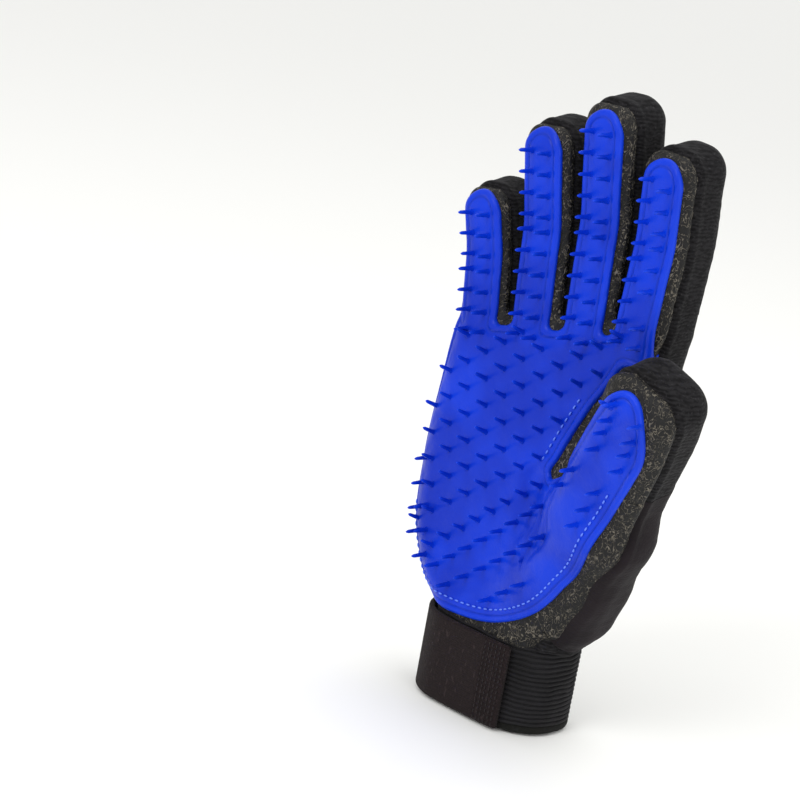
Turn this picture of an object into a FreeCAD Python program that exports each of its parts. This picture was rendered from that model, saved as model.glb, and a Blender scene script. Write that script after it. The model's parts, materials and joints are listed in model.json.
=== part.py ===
"""Right-hand pet grooming glove: a hollow fabric hand with a studded silicone palm.

Frame: +Z runs from the wrist to the fingertips, the palm faces -Y and the thumb is on the +X side.
The origin is the centre of the cuff's mouth, where the hand goes in. All sizes are millimetres.
Each finger is cut at its base and middle knuckles, and each piece is one node.
"""

import FreeCAD
import Part

import math
import os

V = FreeCAD.Vector

# Cloth and silicone
WALL = 2.0  # stretch-knit and mesh fabric, with its lining
CLEAR = 0.1  # between the silicone and the cloth under it
PAD = 2.0  # silicone sheet
SPLIT = 0.3  # between two pieces that turn on one another
PIN_LENGTH = 5.5
PIN_FOOT = 0.85  # radius where a pin leaves the sheet
PIN_TIP = 0.6
PIN_ROOT = 0.6  # how far a pin is sunk in the sheet
PIN_PITCH = 7.0  # along a finger
PIN_SPREAD = 3.9  # from a finger's centreline to each row of pins
HINGE_FREE = 6.0  # no rigid pin nearer than this to a knuckle, so that the rows can fold

# Wrist: elastic tube, hem tape and closing strap, all ellipses about the Z axis
HEM_TOP = 2.0
CUFF_TOP = 32.0
CUFF_A, CUFF_B, CUFF_Y = 27.0, 17.0, 1.0
STRAP_BOTTOM, STRAP_TOP = 0.6, 31.0
STRAP_A, STRAP_B, STRAP_Y = 29.5, 20.5, -0.05
STRAP_THICK = 2.15
PATCH = 1.0
STRAP_FOLD_X = -22.0  # where the loose tab leaves its sewn end
STRAP_END_X = 17.0
PATCH_LEFT_X, PATCH_RIGHT_X = -8.0, 13.0

# Palm: sections at rising heights as (z, left x, right x); palm and back faces are flat planes
PALM_FRONT, PALM_BACK = -13.0, 13.0
PALM_SECTIONS = ((CUFF_TOP, -27.0, 27.0), (50.0, -37.0, 29.5), (80.0, -42.0, 37.0),
                 (112.0, -41.0, 43.0), (158.0, -38.5, 48.5))
SEAM_Y = -7.5  # side seam between the mesh palm panel and the knit back panel

# Knuckle line: a plane that holds the Y direction and rises towards the index finger
KNUCKLE_Z = 143.0
KNUCKLE_SLOPE = math.radians(11.3)
FINGER_Y = -1.0  # puts the palm face of a finger in the plane of the palm panel

# Fingers: name, x at the knuckle line, sideways lean, base length, tip length, width, depth
FINGERS = (
    ("index", 38.3, 4.5, 28.0, 32.0, 20.5, 24.0),
    ("middle", 17.3, -0.5, 34.0, 40.5, 20.5, 24.0),
    ("ring", -5.0, -2.5, 31.0, 36.0, 20.0, 24.0),
    ("little", -28.0, -5.5, 21.0, 24.0, 19.0, 24.0),
)
BASE_LEAN = 3.0  # forward lean of a finger's base piece, degrees
TIP_LEAN = 12.0
FINGER_SEAM = 5.0  # the mesh panel's depth, from the palm face of the finger to the side seam
STRIP_WIDTH = 15.0
STRIP_TIP_GAP = 3.0  # from the end of the silicone strip to the fingertip

# Thumb
THUMB_ROOT = V(25.0, -1.5, 51.0)
THUMB_MIDDLE = V(41.0, -11.0, 74.0)
THUMB_KNUCKLE = V(53.5, -18.5, 104.0)
THUMB_AXIS = V(0.40, -0.233, 0.886).normalize()
THUMB_TURN = math.radians(-4.0)  # how far its palm side turns towards the fingers
THUMB_BASE, THUMB_TIP = 19.0, 26.0
THUMB_TIP_LEAN = 6.0
THUMB_WIDTH, THUMB_DEPTH = 28.0, 26.0
THUMB_STRIP = 21.0
THUMB_PIN_SPREAD = 5.5
ROOT_INNER, ROOT_OUTER, ROOT_LENGTH = 8.5, 12.0, 36.0  # silicone on the thumb root

# Palm sheet of silicone
SHEET_FRONT = PALM_FRONT - CLEAR - PAD
LATTICE_X, LATTICE_Z = 7.2, 8.2  # staggered columns of pins
HEEL_ROWS = ((7, 30.0, 69.0), (7, 27.0, 58.5), (3, 13.0, 49.0))  # pins, first x and z of each row
HEEL_STEP = V(-7.4, 0, -3.0)

X, Y, Z = V(1, 0, 0), V(0, 1, 0), V(0, 0, 1)
FAR = 400.0


class Station:
    """One cross-section of a tube: its centre, the across and palm-side directions, and its size."""

    def __init__(self, centre, across, palm_side, width, depth):
        self.centre = centre
        self.across = across
        self.palm_side = palm_side
        self.width = width
        self.depth = depth

    def ring(self, inset=0.0):
        """A rounded rectangle in the section's plane, drawn in by inset."""
        a, b = self.width / 2 - inset, self.depth / 2 - inset
        r = 0.74 * min(a, b)
        k = r * (1 - math.sqrt(0.5))

        def at(u, v):
            return self.centre + self.across * u + self.palm_side * v

        edges = []
        for su, sv in ((1, 1), (-1, 1), (-1, -1), (1, -1)):
            first, last = at(su * a, sv * (b - r)), at(su * (a - r), sv * b)
            arc = (first, at(su * (a - k), sv * (b - k)), last)
            if su * sv < 0:
                arc = arc[::-1]
            edges.append(arc)
        made = []
        for n, arc in enumerate(edges):
            made.append(Part.Arc(*arc).toShape())
            made.append(Part.makeLine(arc[2], edges[(n + 1) % 4][0]))
        return Part.Wire(made)


def tube(stations, inset=0.0):
    """A solid lofted through the stations, drawn in by inset."""
    return Part.makeLoft([s.ring(inset) for s in stations], True, True)


def beyond(point, normal):
    """A block that fills space on the side of a plane that its normal points to."""
    block = Part.makeBox(FAR, FAR, FAR, V(-FAR / 2, -FAR / 2, 0))
    block.Placement = FreeCAD.Placement(point, FreeCAD.Rotation(Z, normal))
    return block


def save(name, shape):
    """Write one node. A compound of one solid is written as that solid."""
    solids = shape.Solids
    if not solids or not all(s.isValid() for s in solids):
        raise ValueError(f"{name} is not made of valid solids")
    out = solids[0] if len(solids) == 1 else Part.makeCompound(solids)
    out.exportStep(f"parts/{name}.step")
    print(f"{name}: {len(solids)} solid, {out.Volume / 1000:.2f} cm3")


def pin(foot, direction):
    """One silicone pin: a slim cone with a round tip."""
    low, high = V(PIN_FOOT, 0, -PIN_ROOT), V(PIN_TIP, 0, PIN_LENGTH - PIN_TIP)
    round_tip = Part.Arc(high, V(PIN_TIP * math.sqrt(0.5), 0, high.z + PIN_TIP * math.sqrt(0.5)),
                         V(0, 0, PIN_LENGTH)).toShape()
    profile = Part.Wire([Part.makeLine(V(0, 0, -PIN_ROOT), low), Part.makeLine(low, high), round_tip,
                         Part.makeLine(V(0, 0, PIN_LENGTH), V(0, 0, -PIN_ROOT))])
    solid = Part.Face(profile).revolve(V(), Z, 360)
    solid.Placement = FreeCAD.Placement(foot, FreeCAD.Rotation(Z, direction))
    return solid


class Digit:
    """A finger or thumb beyond its first knuckle: two hollow pieces and their silicone strips."""

    def __init__(self, name, root, along, across, cut_normal, lengths, leans, size, strip):
        self.name = name
        self.root = root
        self.across = across
        self.cut_normal = cut_normal
        self.base_length, self.tip_length = lengths
        self.width, self.depth = size
        self.strip, self.pin_spread = strip
        self.palm_side = across.cross(along)
        self.base_along, self.base_palm = self.leaned(along, leans[0])
        self.tip_along, self.tip_palm = self.leaned(along, leans[1])
        self.middle = root + self.base_along * self.base_length
        self.fold_along = (self.base_along + self.tip_along).normalize()
        self.fold_palm = (self.base_palm + self.tip_palm).normalize()
        self.end = self.middle + self.tip_along * self.tip_length

    def leaned(self, along, degrees):
        """The along and palm-side directions after leaning towards the palm."""
        turn = FreeCAD.Rotation(self.across, degrees)
        return turn.multVec(along), turn.multVec(self.palm_side)

    def stations(self, inset):
        """Sections from below the first knuckle to the domed tip, with the dome drawn in by inset."""
        def at(centre, palm_side, scale=1.0):
            return Station(centre, self.across, palm_side,
                           2 * inset + (self.width - 2 * inset) * scale,
                           2 * inset + (self.depth - 2 * inset) * scale)

        dome = self.width / 2
        foot = self.end - self.tip_along * dome
        found = [at(self.root - self.base_along * 8, self.base_palm), at(self.root, self.base_palm),
                 at(self.middle, self.fold_palm), at(foot, self.tip_palm)]
        for degrees in (30, 52, 70):
            angle = math.radians(degrees)
            found.append(at(foot + self.tip_along * (dome - inset) * math.sin(angle), self.tip_palm,
                            math.cos(angle)))
        return found

    def shell(self):
        """The hollow sleeve."""
        return tube(self.stations(0.0)).cut(tube(self.stations(WALL), WALL))

    def hinge_point(self, middle):
        """Where a knuckle's fold line is: on the outer face of the silicone, which doesn't stretch."""
        reach = self.depth / 2 + CLEAR + PAD
        if middle:
            return self.middle + self.fold_palm * reach
        return self.root + self.base_palm * reach

    def plate(self, start, along, palm_side, length, round_end):
        """A flat strip of silicone on the palm face, from below start to length beyond it."""
        half = self.strip / 2
        low = palm_side * (self.depth / 2 + CLEAR)
        a = start - along * 8 - self.across * half + low
        b = start + along * (length - (half if round_end else 0)) - self.across * half + low
        c, d = b + self.across * self.strip, a + self.across * self.strip
        far = (Part.Arc(b, start + along * length + low, c).toShape() if round_end
               else Part.makeLine(b, c))
        outline = Part.Wire([Part.makeLine(a, b), far, Part.makeLine(c, d), Part.makeLine(d, a)])
        return Part.Face(outline).extrude(palm_side * PAD)

    def pins(self, start, along, palm_side, first, last):
        """Pairs of pins along a strip, from first to last millimetres beyond start."""
        rows = int((last - first) / PIN_PITCH) + 1
        margin = ((last - first) - (rows - 1) * PIN_PITCH) / 2
        top = palm_side * (self.depth / 2 + CLEAR + PAD)
        return [pin(start + along * (first + margin + n * PIN_PITCH) + self.across * side + top, palm_side)
                for n in range(rows) for side in (-self.pin_spread, self.pin_spread)]

    def save_pieces(self):
        """Cut the sleeve and strip at both knuckles, and the sleeve at its side seam."""
        above_root = beyond(self.root + self.cut_normal * SPLIT, self.cut_normal)
        below_fold = beyond(self.middle - self.fold_along * SPLIT / 2, self.fold_along * -1)
        above_fold = beyond(self.middle + self.fold_along * SPLIT / 2, self.fold_along)
        shell = self.shell()
        seam = self.depth / 2 - FINGER_SEAM
        base = shell.common(above_root).common(below_fold)
        tip = shell.common(above_fold)
        base_front = beyond(self.root + self.base_palm * seam, self.base_palm)
        tip_front = beyond(self.middle + self.tip_palm * seam, self.tip_palm)
        save(f"{self.name}_base_mesh", base.common(base_front))
        save(f"{self.name}_base_back", base.cut(base_front))
        save(f"{self.name}_tip_mesh", tip.common(tip_front))
        save(f"{self.name}_tip_back", tip.cut(tip_front))
        base_strip = self.plate(self.root, self.base_along, self.base_palm, self.base_length + 8, False)
        base_strip = base_strip.common(above_root).common(below_fold)
        base_pins = self.pins(self.root, self.base_along, self.base_palm, HINGE_FREE,
                              self.base_length - HINGE_FREE)
        save(f"{self.name}_base_pad", base_strip.fuse(base_pins))
        reach = self.tip_length - STRIP_TIP_GAP
        tip_strip = self.plate(self.middle, self.tip_along, self.tip_palm, reach, True).common(above_fold)
        tip_pins = self.pins(self.middle, self.tip_along, self.tip_palm, HINGE_FREE, reach - 5.0)
        save(f"{self.name}_tip_pad", tip_strip.fuse(tip_pins))


def knuckle_height(x):
    """Height of the knuckle line at x."""
    return KNUCKLE_Z + x * math.tan(KNUCKLE_SLOPE)


def fingers():
    """The four fingers, side by side on the knuckle line."""
    up = V(-math.sin(KNUCKLE_SLOPE), 0, math.cos(KNUCKLE_SLOPE))
    made = []
    for name, x, spread, base, tip, width, depth in FINGERS:
        lean = math.radians(spread)
        along = V(math.sin(lean), 0, math.cos(lean))
        across = V(math.cos(lean), 0, -math.sin(lean))
        made.append(Digit(name, V(x, FINGER_Y, knuckle_height(x)), along, across, up, (base, tip),
                          (BASE_LEAN, TIP_LEAN), (width, depth), (STRIP_WIDTH, PIN_SPREAD)))
    return made


def thumb_palm_side():
    """The direction that the thumb's silicone faces, square to its axis."""
    wanted = V(-math.sin(THUMB_TURN), -math.cos(THUMB_TURN), 0)
    return (wanted - THUMB_AXIS * wanted.dot(THUMB_AXIS)).normalize()


def thumb():
    """The thumb beyond its first knuckle."""
    across = THUMB_AXIS.cross(thumb_palm_side())
    return Digit("thumb", THUMB_KNUCKLE, THUMB_AXIS, across, THUMB_AXIS,
                 (THUMB_BASE, THUMB_TIP), (0.0, THUMB_TIP_LEAN), (THUMB_WIDTH, THUMB_DEPTH),
                 (THUMB_STRIP, THUMB_PIN_SPREAD))


def thumb_root_stations():
    """Sections of the thumb's root, from inside the palm to its first knuckle.

    Their palm sides lie in one plane, so that the silicone on them is flat.
    """
    side = thumb_palm_side()
    across = THUMB_AXIS.cross(side)
    face = THUMB_KNUCKLE.dot(side) + THUMB_DEPTH / 2
    return [Station(centre, across, side, width, 2 * (face - centre.dot(side)))
            for centre, width in ((THUMB_ROOT, 26.0), (THUMB_MIDDLE, 30.0), (THUMB_KNUCKLE, THUMB_WIDTH))]


def palm_stations():
    """Level sections of the palm."""
    middle, depth = (PALM_FRONT + PALM_BACK) / 2, PALM_BACK - PALM_FRONT
    return [Station(V((left + right) / 2, middle, z), X, Y * -1, right - left, depth)
            for z, left, right in PALM_SECTIONS]


def save_palm():
    """The palm's mesh and back panels, and the thumb gusset let into their side."""
    below = beyond(V(0, 0, KNUCKLE_Z), V(math.sin(KNUCKLE_SLOPE), 0, -math.cos(KNUCKLE_SLOPE)))
    outer = tube(palm_stations()).common(below)
    hollow = tube(palm_stations(), WALL)
    root_outer, root_hollow = tube(thumb_root_stations()), tube(thumb_root_stations(), WALL)
    gusset = root_outer.cut(root_hollow).cut(outer)
    save("thumb_gusset", max(gusset.Solids, key=lambda s: s.Volume))
    shell = outer.cut(hollow).cut(root_hollow)
    front = beyond(V(0, SEAM_Y, 0), Y * -1)
    save("palm_mesh_panel", shell.common(front))
    save("back_panel", shell.cut(front))


def sheet_outline():
    """The palm sheet's edge: finger roots at the top, the thumb's slit on the right, a round heel."""
    top = knuckle_height
    points = [V(-36, 0, top(-36)), V(-38.5, 0, 110), V(-39.5, 0, 80), V(-36.5, 0, 58), V(-26, 0, 43.5),
              V(-8, 0, 37), V(8, 0, 38), V(19, 0, 44), V(25, 0, 56), V(24, 0, 74), V(25, 0, 97),
              V(40, 0, 124), V(46, 0, top(46))]
    side = Part.BSplineCurve()
    side.interpolate(points)
    closed = Part.makeLine(points[-1], points[0])
    return Part.Wire([side.toShape(), closed])


def sheet_pins():
    """Staggered pins over the palm, and three loose rows on the heel of the hand."""
    found = []
    for column in range(-5, 6):
        x = column * LATTICE_X + 2.0
        for row in range(13):
            z = 50.0 + row * LATTICE_Z + (LATTICE_Z / 2 if column % 2 else 0)
            if 80 + (x - 30) * 0.4 < z < knuckle_height(x) - HINGE_FREE:
                found.append(V(x, 0, z))
    for count, x, z in HEEL_ROWS:
        start = V(x - 8.0, 0, z)
        found += [start + HEEL_STEP * n for n in range(count)]
    return found


def save_palm_pad():
    """The palm's silicone sheet, with its pins, and the strip that runs up the thumb's root."""
    sheet = Part.Face(sheet_outline()).extrude(Y * -PAD)
    sheet.translate(Y * (PALM_FRONT - CLEAR))
    sheet = sheet.common(beyond(V(0, 0, KNUCKLE_Z),
                                V(math.sin(KNUCKLE_SLOPE), 0, -math.cos(KNUCKLE_SLOPE))))
    sheet = sheet.cut(tube(thumb_root_stations(), -(CLEAR + PAD + SPLIT)))
    sheet = max(sheet.Solids, key=lambda solid: solid.Volume)
    middle = Y * (SHEET_FRONT + PAD / 2)
    edge = PIN_FOOT + 1.0
    around = (X * edge, X * -edge, Z * edge, Z * -edge)
    pins = [pin(p + Y * SHEET_FRONT, Y * -1) for p in sheet_pins()
            if all(sheet.isInside(p + middle + side, 0.01, True) for side in around)]
    save("palm_pad", sheet.fuse(pins))


def save_thumb_root_pad():
    """The silicone on the thumb's root, from the heel of the hand to the first knuckle."""
    digit = thumb()
    start = THUMB_KNUCKLE + digit.palm_side * (THUMB_DEPTH / 2 + CLEAR)
    inner, outer = digit.across * -ROOT_INNER, digit.across * ROOT_OUTER
    foot = start - THUMB_AXIS * ROOT_LENGTH
    outline = Part.makePolygon([foot + inner, start + inner, start + outer, foot + outer, foot + inner])
    plate = Part.Face(outline).extrude(digit.palm_side * PAD)
    top = start + digit.palm_side * PAD
    pins = [pin(top - THUMB_AXIS * (HINGE_FREE + n * PIN_PITCH) + digit.across * side, digit.palm_side)
            for n in range(4) for side in (-THUMB_PIN_SPREAD, THUMB_PIN_SPREAD)]
    save("thumb_root_pad", plate.fuse(pins))


def oval(a, b, y, low, high):
    """An upright elliptical column."""
    column = Part.Face(Part.Wire(Part.Ellipse(V(0, y, low), a, b).toShape())).extrude(Z * (high - low))
    return column


def band(a, b, y, thick, low, high):
    """A ring of an elliptical column, thick millimetres through."""
    return oval(a, b, y, low, high).cut(oval(a - thick, b - thick, y, low - 1, high + 1))


def slab(left, right, front, back):
    """An upright block between two x and two y positions, tall enough for the whole wrist."""
    return Part.makeBox(right - left, back - front, 60, V(left, front, -10))


def save_wrist():
    """Hem tape, ribbed elastic, and the strap with its hook and loop patches."""
    save("cuff_hem", band(CUFF_A, CUFF_B, CUFF_Y, WALL, 0, HEM_TOP))
    save("wrist_elastic", band(CUFF_A, CUFF_B, CUFF_Y, WALL, HEM_TOP, CUFF_TOP))
    strap = band(STRAP_A, STRAP_B, STRAP_Y, STRAP_THICK, STRAP_BOTTOM, STRAP_TOP)
    half_split = SPLIT / 2
    save("strap_sewn_end", strap.common(slab(-40, STRAP_FOLD_X - half_split, -40, 4)))
    save("strap_tab", strap.common(slab(STRAP_FOLD_X + half_split, STRAP_END_X, -40, 0)))
    inner_a, inner_b = STRAP_A - STRAP_THICK, STRAP_B - STRAP_THICK
    low, high = STRAP_BOTTOM + 3, STRAP_TOP - 3
    patch_zone = slab(PATCH_LEFT_X, PATCH_RIGHT_X, -40, 0)
    loop_outer = oval(CUFF_A + PATCH, CUFF_B + PATCH, CUFF_Y, low, high)
    loop = loop_outer.cut(oval(CUFF_A + 0.02, CUFF_B + 0.02, CUFF_Y, low - 1, high + 1))
    save("loop_patch", loop.common(patch_zone))
    hook_inner = oval(CUFF_A + PATCH + 0.2, CUFF_B + PATCH + 0.2, CUFF_Y, low - 1, high + 1)
    hook = oval(inner_a - 0.02, inner_b - 0.02, STRAP_Y, low, high).cut(hook_inner)
    save("hook_patch", hook.common(patch_zone))


def main():
    """Write every node and print the fold lines that the joints turn on."""
    os.makedirs("parts", exist_ok=True)
    save_wrist()
    save_palm()
    save_palm_pad()
    save_thumb_root_pad()
    for digit in [*fingers(), thumb()]:
        digit.save_pieces()
        for label, middle in (("base", False), ("middle", True)):
            point = digit.hinge_point(middle)
            print(f"{digit.name} {label} fold: point {tuple(round(c, 3) for c in point)},"
                  f" axis {tuple(round(c, 5) for c in digit.across)}")


main()
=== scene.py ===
"""Looks of a five-finger grooming glove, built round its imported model.

The glove is a stretch-cloth hand with a pinned silicone palm, an elastic wrist and a closing strap.
All shapes are worked out in millimetres and made into Blender meshes in metres.
"""

import json
import logging
import math
from collections.abc import Callable
from dataclasses import dataclass, field
from enum import Enum

import bpy
import numpy as np
from bpy.types import Material, Mesh, Node, NodeSocket, NodeTree, Object
from mathutils import Matrix, Vector


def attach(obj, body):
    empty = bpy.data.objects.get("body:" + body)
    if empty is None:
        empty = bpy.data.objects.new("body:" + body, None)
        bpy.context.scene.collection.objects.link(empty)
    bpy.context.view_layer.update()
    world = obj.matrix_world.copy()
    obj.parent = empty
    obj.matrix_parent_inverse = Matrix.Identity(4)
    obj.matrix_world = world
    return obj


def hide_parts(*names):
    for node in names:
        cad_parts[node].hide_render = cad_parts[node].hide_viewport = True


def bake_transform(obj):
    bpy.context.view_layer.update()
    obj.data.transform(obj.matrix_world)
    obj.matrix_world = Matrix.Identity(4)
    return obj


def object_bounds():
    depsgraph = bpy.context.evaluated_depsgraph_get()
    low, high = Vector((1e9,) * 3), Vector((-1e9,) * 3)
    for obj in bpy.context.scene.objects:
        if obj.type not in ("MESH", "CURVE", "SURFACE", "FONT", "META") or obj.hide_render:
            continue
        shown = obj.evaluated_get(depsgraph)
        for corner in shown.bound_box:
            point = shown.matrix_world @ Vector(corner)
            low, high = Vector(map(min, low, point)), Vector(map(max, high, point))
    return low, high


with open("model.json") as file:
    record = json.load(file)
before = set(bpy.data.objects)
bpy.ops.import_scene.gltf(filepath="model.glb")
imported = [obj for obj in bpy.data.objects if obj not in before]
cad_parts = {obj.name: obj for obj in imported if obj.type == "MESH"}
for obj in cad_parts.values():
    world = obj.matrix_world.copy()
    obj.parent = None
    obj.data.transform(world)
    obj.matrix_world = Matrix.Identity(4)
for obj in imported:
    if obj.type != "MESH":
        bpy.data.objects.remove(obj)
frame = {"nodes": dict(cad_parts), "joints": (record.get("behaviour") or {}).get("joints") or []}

CAD_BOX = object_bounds()
LOG = logging.getLogger("glove")
MM = 0.001
Array = np.ndarray
Field = Callable[[Array], Array]

# Measures shared by more than one sub-assembly, in millimetres
KNUCKLE_SLOPE = math.radians(11.3)
UP = np.array([-math.sin(KNUCKLE_SLOPE), 0.0, math.cos(KNUCKLE_SLOPE)])  # square to the knuckle line
KNUCKLE = np.array([0.0, 0.0, 143.0])
CLOTH_CUT = 2.5  # the palm's cloth ends this far above the knuckle line
BEND_LENGTH = 11.5  # cloth that bends at a knuckle
LITTLE_BEND = 9.0  # the same on the short little finger
FIRST_PIN = 6.0  # no pin on a digit nearer than this to its knuckle
MID_CUT = 6.0  # a base piece ends this far before the middle knuckle
WRIST_CUT = 31.0
SEAM_EDGES = (-2.2, -0.9, 0.9, 2.2)  # lines cut beside a side seam, so that its groove is sharp
CLOTH_WALL = 1.3
GRID = 0.8


class Part(Enum):
    """The cloth panels of a digit, by the CAD nodes that they stand for."""

    NET = "mesh"
    KNIT = "back"
    PAD = "pad"


# ---------------------------------------------------------------- small maths


def unit(vector: Array) -> Array:
    """Returns the vector at length one."""
    vector = np.asarray(vector, float)
    return vector / np.linalg.norm(vector)


def ease(low: float, high: float, t: Array) -> Array:
    """Rises smoothly from 0 at low to 1 at high."""
    t = np.clip((t - low) / (high - low), 0, 1)
    return t * t * (3 - 2 * t)


def melt(a: Array, b: Array, k: Array | float) -> Array:
    """Joins two distance fields with a fillet of about k."""
    h = np.clip(0.5 + 0.5 * (b - a) / k, 0, 1)
    return b + (a - b) * h - k * h * (1 - h)


def rounded(u: Array, v: Array, half_u: Array, half_v: Array, corner: Array) -> Array:
    """Distance to a rectangle with rounded corners."""
    qu, qv = np.abs(u) - (half_u - corner), np.abs(v) - (half_v - corner)
    return np.hypot(np.maximum(qu, 0), np.maximum(qv, 0)) + np.minimum(np.maximum(qu, qv), 0) - corner


def capped(side: Array, end: Array, corner: float) -> Array:
    """Closes a tube: where side and end meet, the edge is rounded."""
    a, b = side + corner, end + corner
    return np.hypot(np.maximum(a, 0), np.maximum(b, 0)) + np.minimum(np.maximum(a, b), 0) - corner


def turned(vector: Array, axis: Array, degrees: float) -> Array:
    """Turns a vector about a unit axis."""
    a = math.radians(degrees)
    return (vector * math.cos(a) + np.cross(axis, vector) * math.sin(a)
            + axis * np.dot(axis, vector) * (1 - math.cos(a)))


def ripples(p: Array, size: float, seed: int, count: int = 14) -> Array:
    """Smooth unevenness between about -1 and 1, the same on every run.

    Args:
        p: Points in millimetres.
        size: Typical width of a ripple in millimetres.
        seed: Chooses the pattern.
        count: How many waves are added up.

    Returns:
        One value for each point.
    """
    rng = np.random.default_rng(seed)
    total = np.zeros(p.shape[:-1])
    for _ in range(count):
        way = unit(rng.normal(size=3)) * (2 * math.pi / (size * rng.uniform(0.7, 1.6)))
        total += np.sin(p @ way + rng.uniform(0, 2 * math.pi))
    return total / math.sqrt(count)


# ---------------------------------------------------------------- skins


@dataclass
class Skin:
    """A triangle surface with values at its points.

    Attributes:
        tris: Corners of each triangle.
        data: Values for each point; "co" is the place and "normal" the outward direction.
    """

    tris: Array
    data: dict[str, Array]

    def split(self, values: Array, near: float = 0.06) -> "Skin":
        """Cuts the triangles along the line where values are zero, and keeps both sides.

        Args:
            values: One number for each point; stored as "side".
            near: Points nearer to zero than this count as on the line.

        Returns:
            The cut skin.
        """
        side = np.where(np.abs(values) < near, 0.0, values)
        data = {**self.data, "side": side}
        tris, sign = self.tris, np.sign(side)
        ends = np.stack([tris, np.roll(tris, -1, 1)], 2)
        crossed = sign[ends[..., 0]] * sign[ends[..., 1]] < 0
        keys = np.sort(ends, 2)
        cut, inverse = np.unique(keys[crossed], axis=0, return_inverse=True)
        if not len(cut):
            return Skin(tris, data)
        share = side[cut[:, 0]] / (side[cut[:, 0]] - side[cut[:, 1]])
        first_new = len(side)
        for name, old in data.items():
            t = share.reshape((-1,) + (1,) * (old.ndim - 1))
            data[name] = np.concatenate([old, old[cut[:, 0]] * (1 - t) + old[cut[:, 1]] * t])
        data["side"][first_new:] = 0.0
        number = np.full(crossed.shape, -1)
        number[crossed] = inverse.reshape(-1) + first_new
        made = [tris[~crossed.any(1)]]
        for k in range(3):
            one = (crossed.sum(1) == 1) & crossed[:, k]
            a, b, c, m = tris[one, k], tris[one, (k + 1) % 3], tris[one, (k + 2) % 3], number[one, k]
            made += [np.stack([a, m, c], 1), np.stack([m, b, c], 1)]
            two = (crossed.sum(1) == 2) & ~crossed[:, (k + 1) % 3]
            a, b, c = tris[two, k], tris[two, (k + 1) % 3], tris[two, (k + 2) % 3]
            m, n = number[two, k], number[two, (k + 2) % 3]
            made += [np.stack([a, m, n], 1), np.stack([m, b, c], 1), np.stack([m, c, n], 1)]
        return Skin(np.concatenate(made), data)

    def only(self, keep: Array) -> "Skin":
        """Returns the kept triangles and the points that they use."""
        tris = self.tris[keep]
        used, inverse = np.unique(tris, return_inverse=True)
        return Skin(inverse.reshape(-1, 3), {n: d[used] for n, d in self.data.items()})

    def half(self, values: Array, positive: bool = True) -> "Skin":
        """Cuts along zero and keeps one side."""
        cut = self.split(values)
        total = cut.data["side"][cut.tris].sum(1)
        return cut.only(total > 0 if positive else total < 0)

    def largest(self) -> "Skin":
        """Keeps the biggest connected piece, so that no stray faces are left."""
        label = np.arange(len(self.data["co"]))
        for _ in range(400):
            least = label[self.tris].min(1)
            new = label.copy()
            np.minimum.at(new, self.tris.ravel(), np.repeat(least, 3))
            new = new[new]
            if (new == label).all():
                break
            label = new
        names, counts = np.unique(label[self.tris[:, 0]], return_counts=True)
        return self.only(label[self.tris[:, 0]] == names[counts.argmax()])

    def triangle_areas(self) -> Array:
        """Area of each triangle in square millimetres."""
        a, b, c = (self.data["co"][self.tris[:, k]] for k in range(3))
        return np.linalg.norm(np.cross(b - a, c - a), axis=1) / 2

    def shell(self, top: Array, bottom: Array) -> "Skin":
        """Gives the skin a thickness, with a closed rim.

        Args:
            top: Height of the outer face above the skin at each point.
            bottom: Height of the inner face, below top.

        Returns:
            A closed skin.
        """
        count = len(self.data["co"])
        data = {n: np.concatenate([d, d]) for n, d in self.data.items()}
        heights = np.concatenate([np.broadcast_to(top, count), np.broadcast_to(bottom, count)])
        data["co"] = data["co"] + data["normal"] * heights[:, None]
        ends = np.concatenate([self.tris[:, [k, (k + 1) % 3]] for k in range(3)])
        keys = np.sort(ends, 1)
        _, first, times = np.unique(keys, axis=0, return_index=True, return_counts=True)
        rim = ends[first[times == 1]]
        a, b = rim[:, 0], rim[:, 1]
        walls = np.concatenate([np.stack([b, a, a + count], 1), np.stack([b, a + count, b + count], 1)])
        tris = np.concatenate([self.tris, self.tris[:, ::-1] + count, walls])
        return Skin(tris, data)


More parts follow.
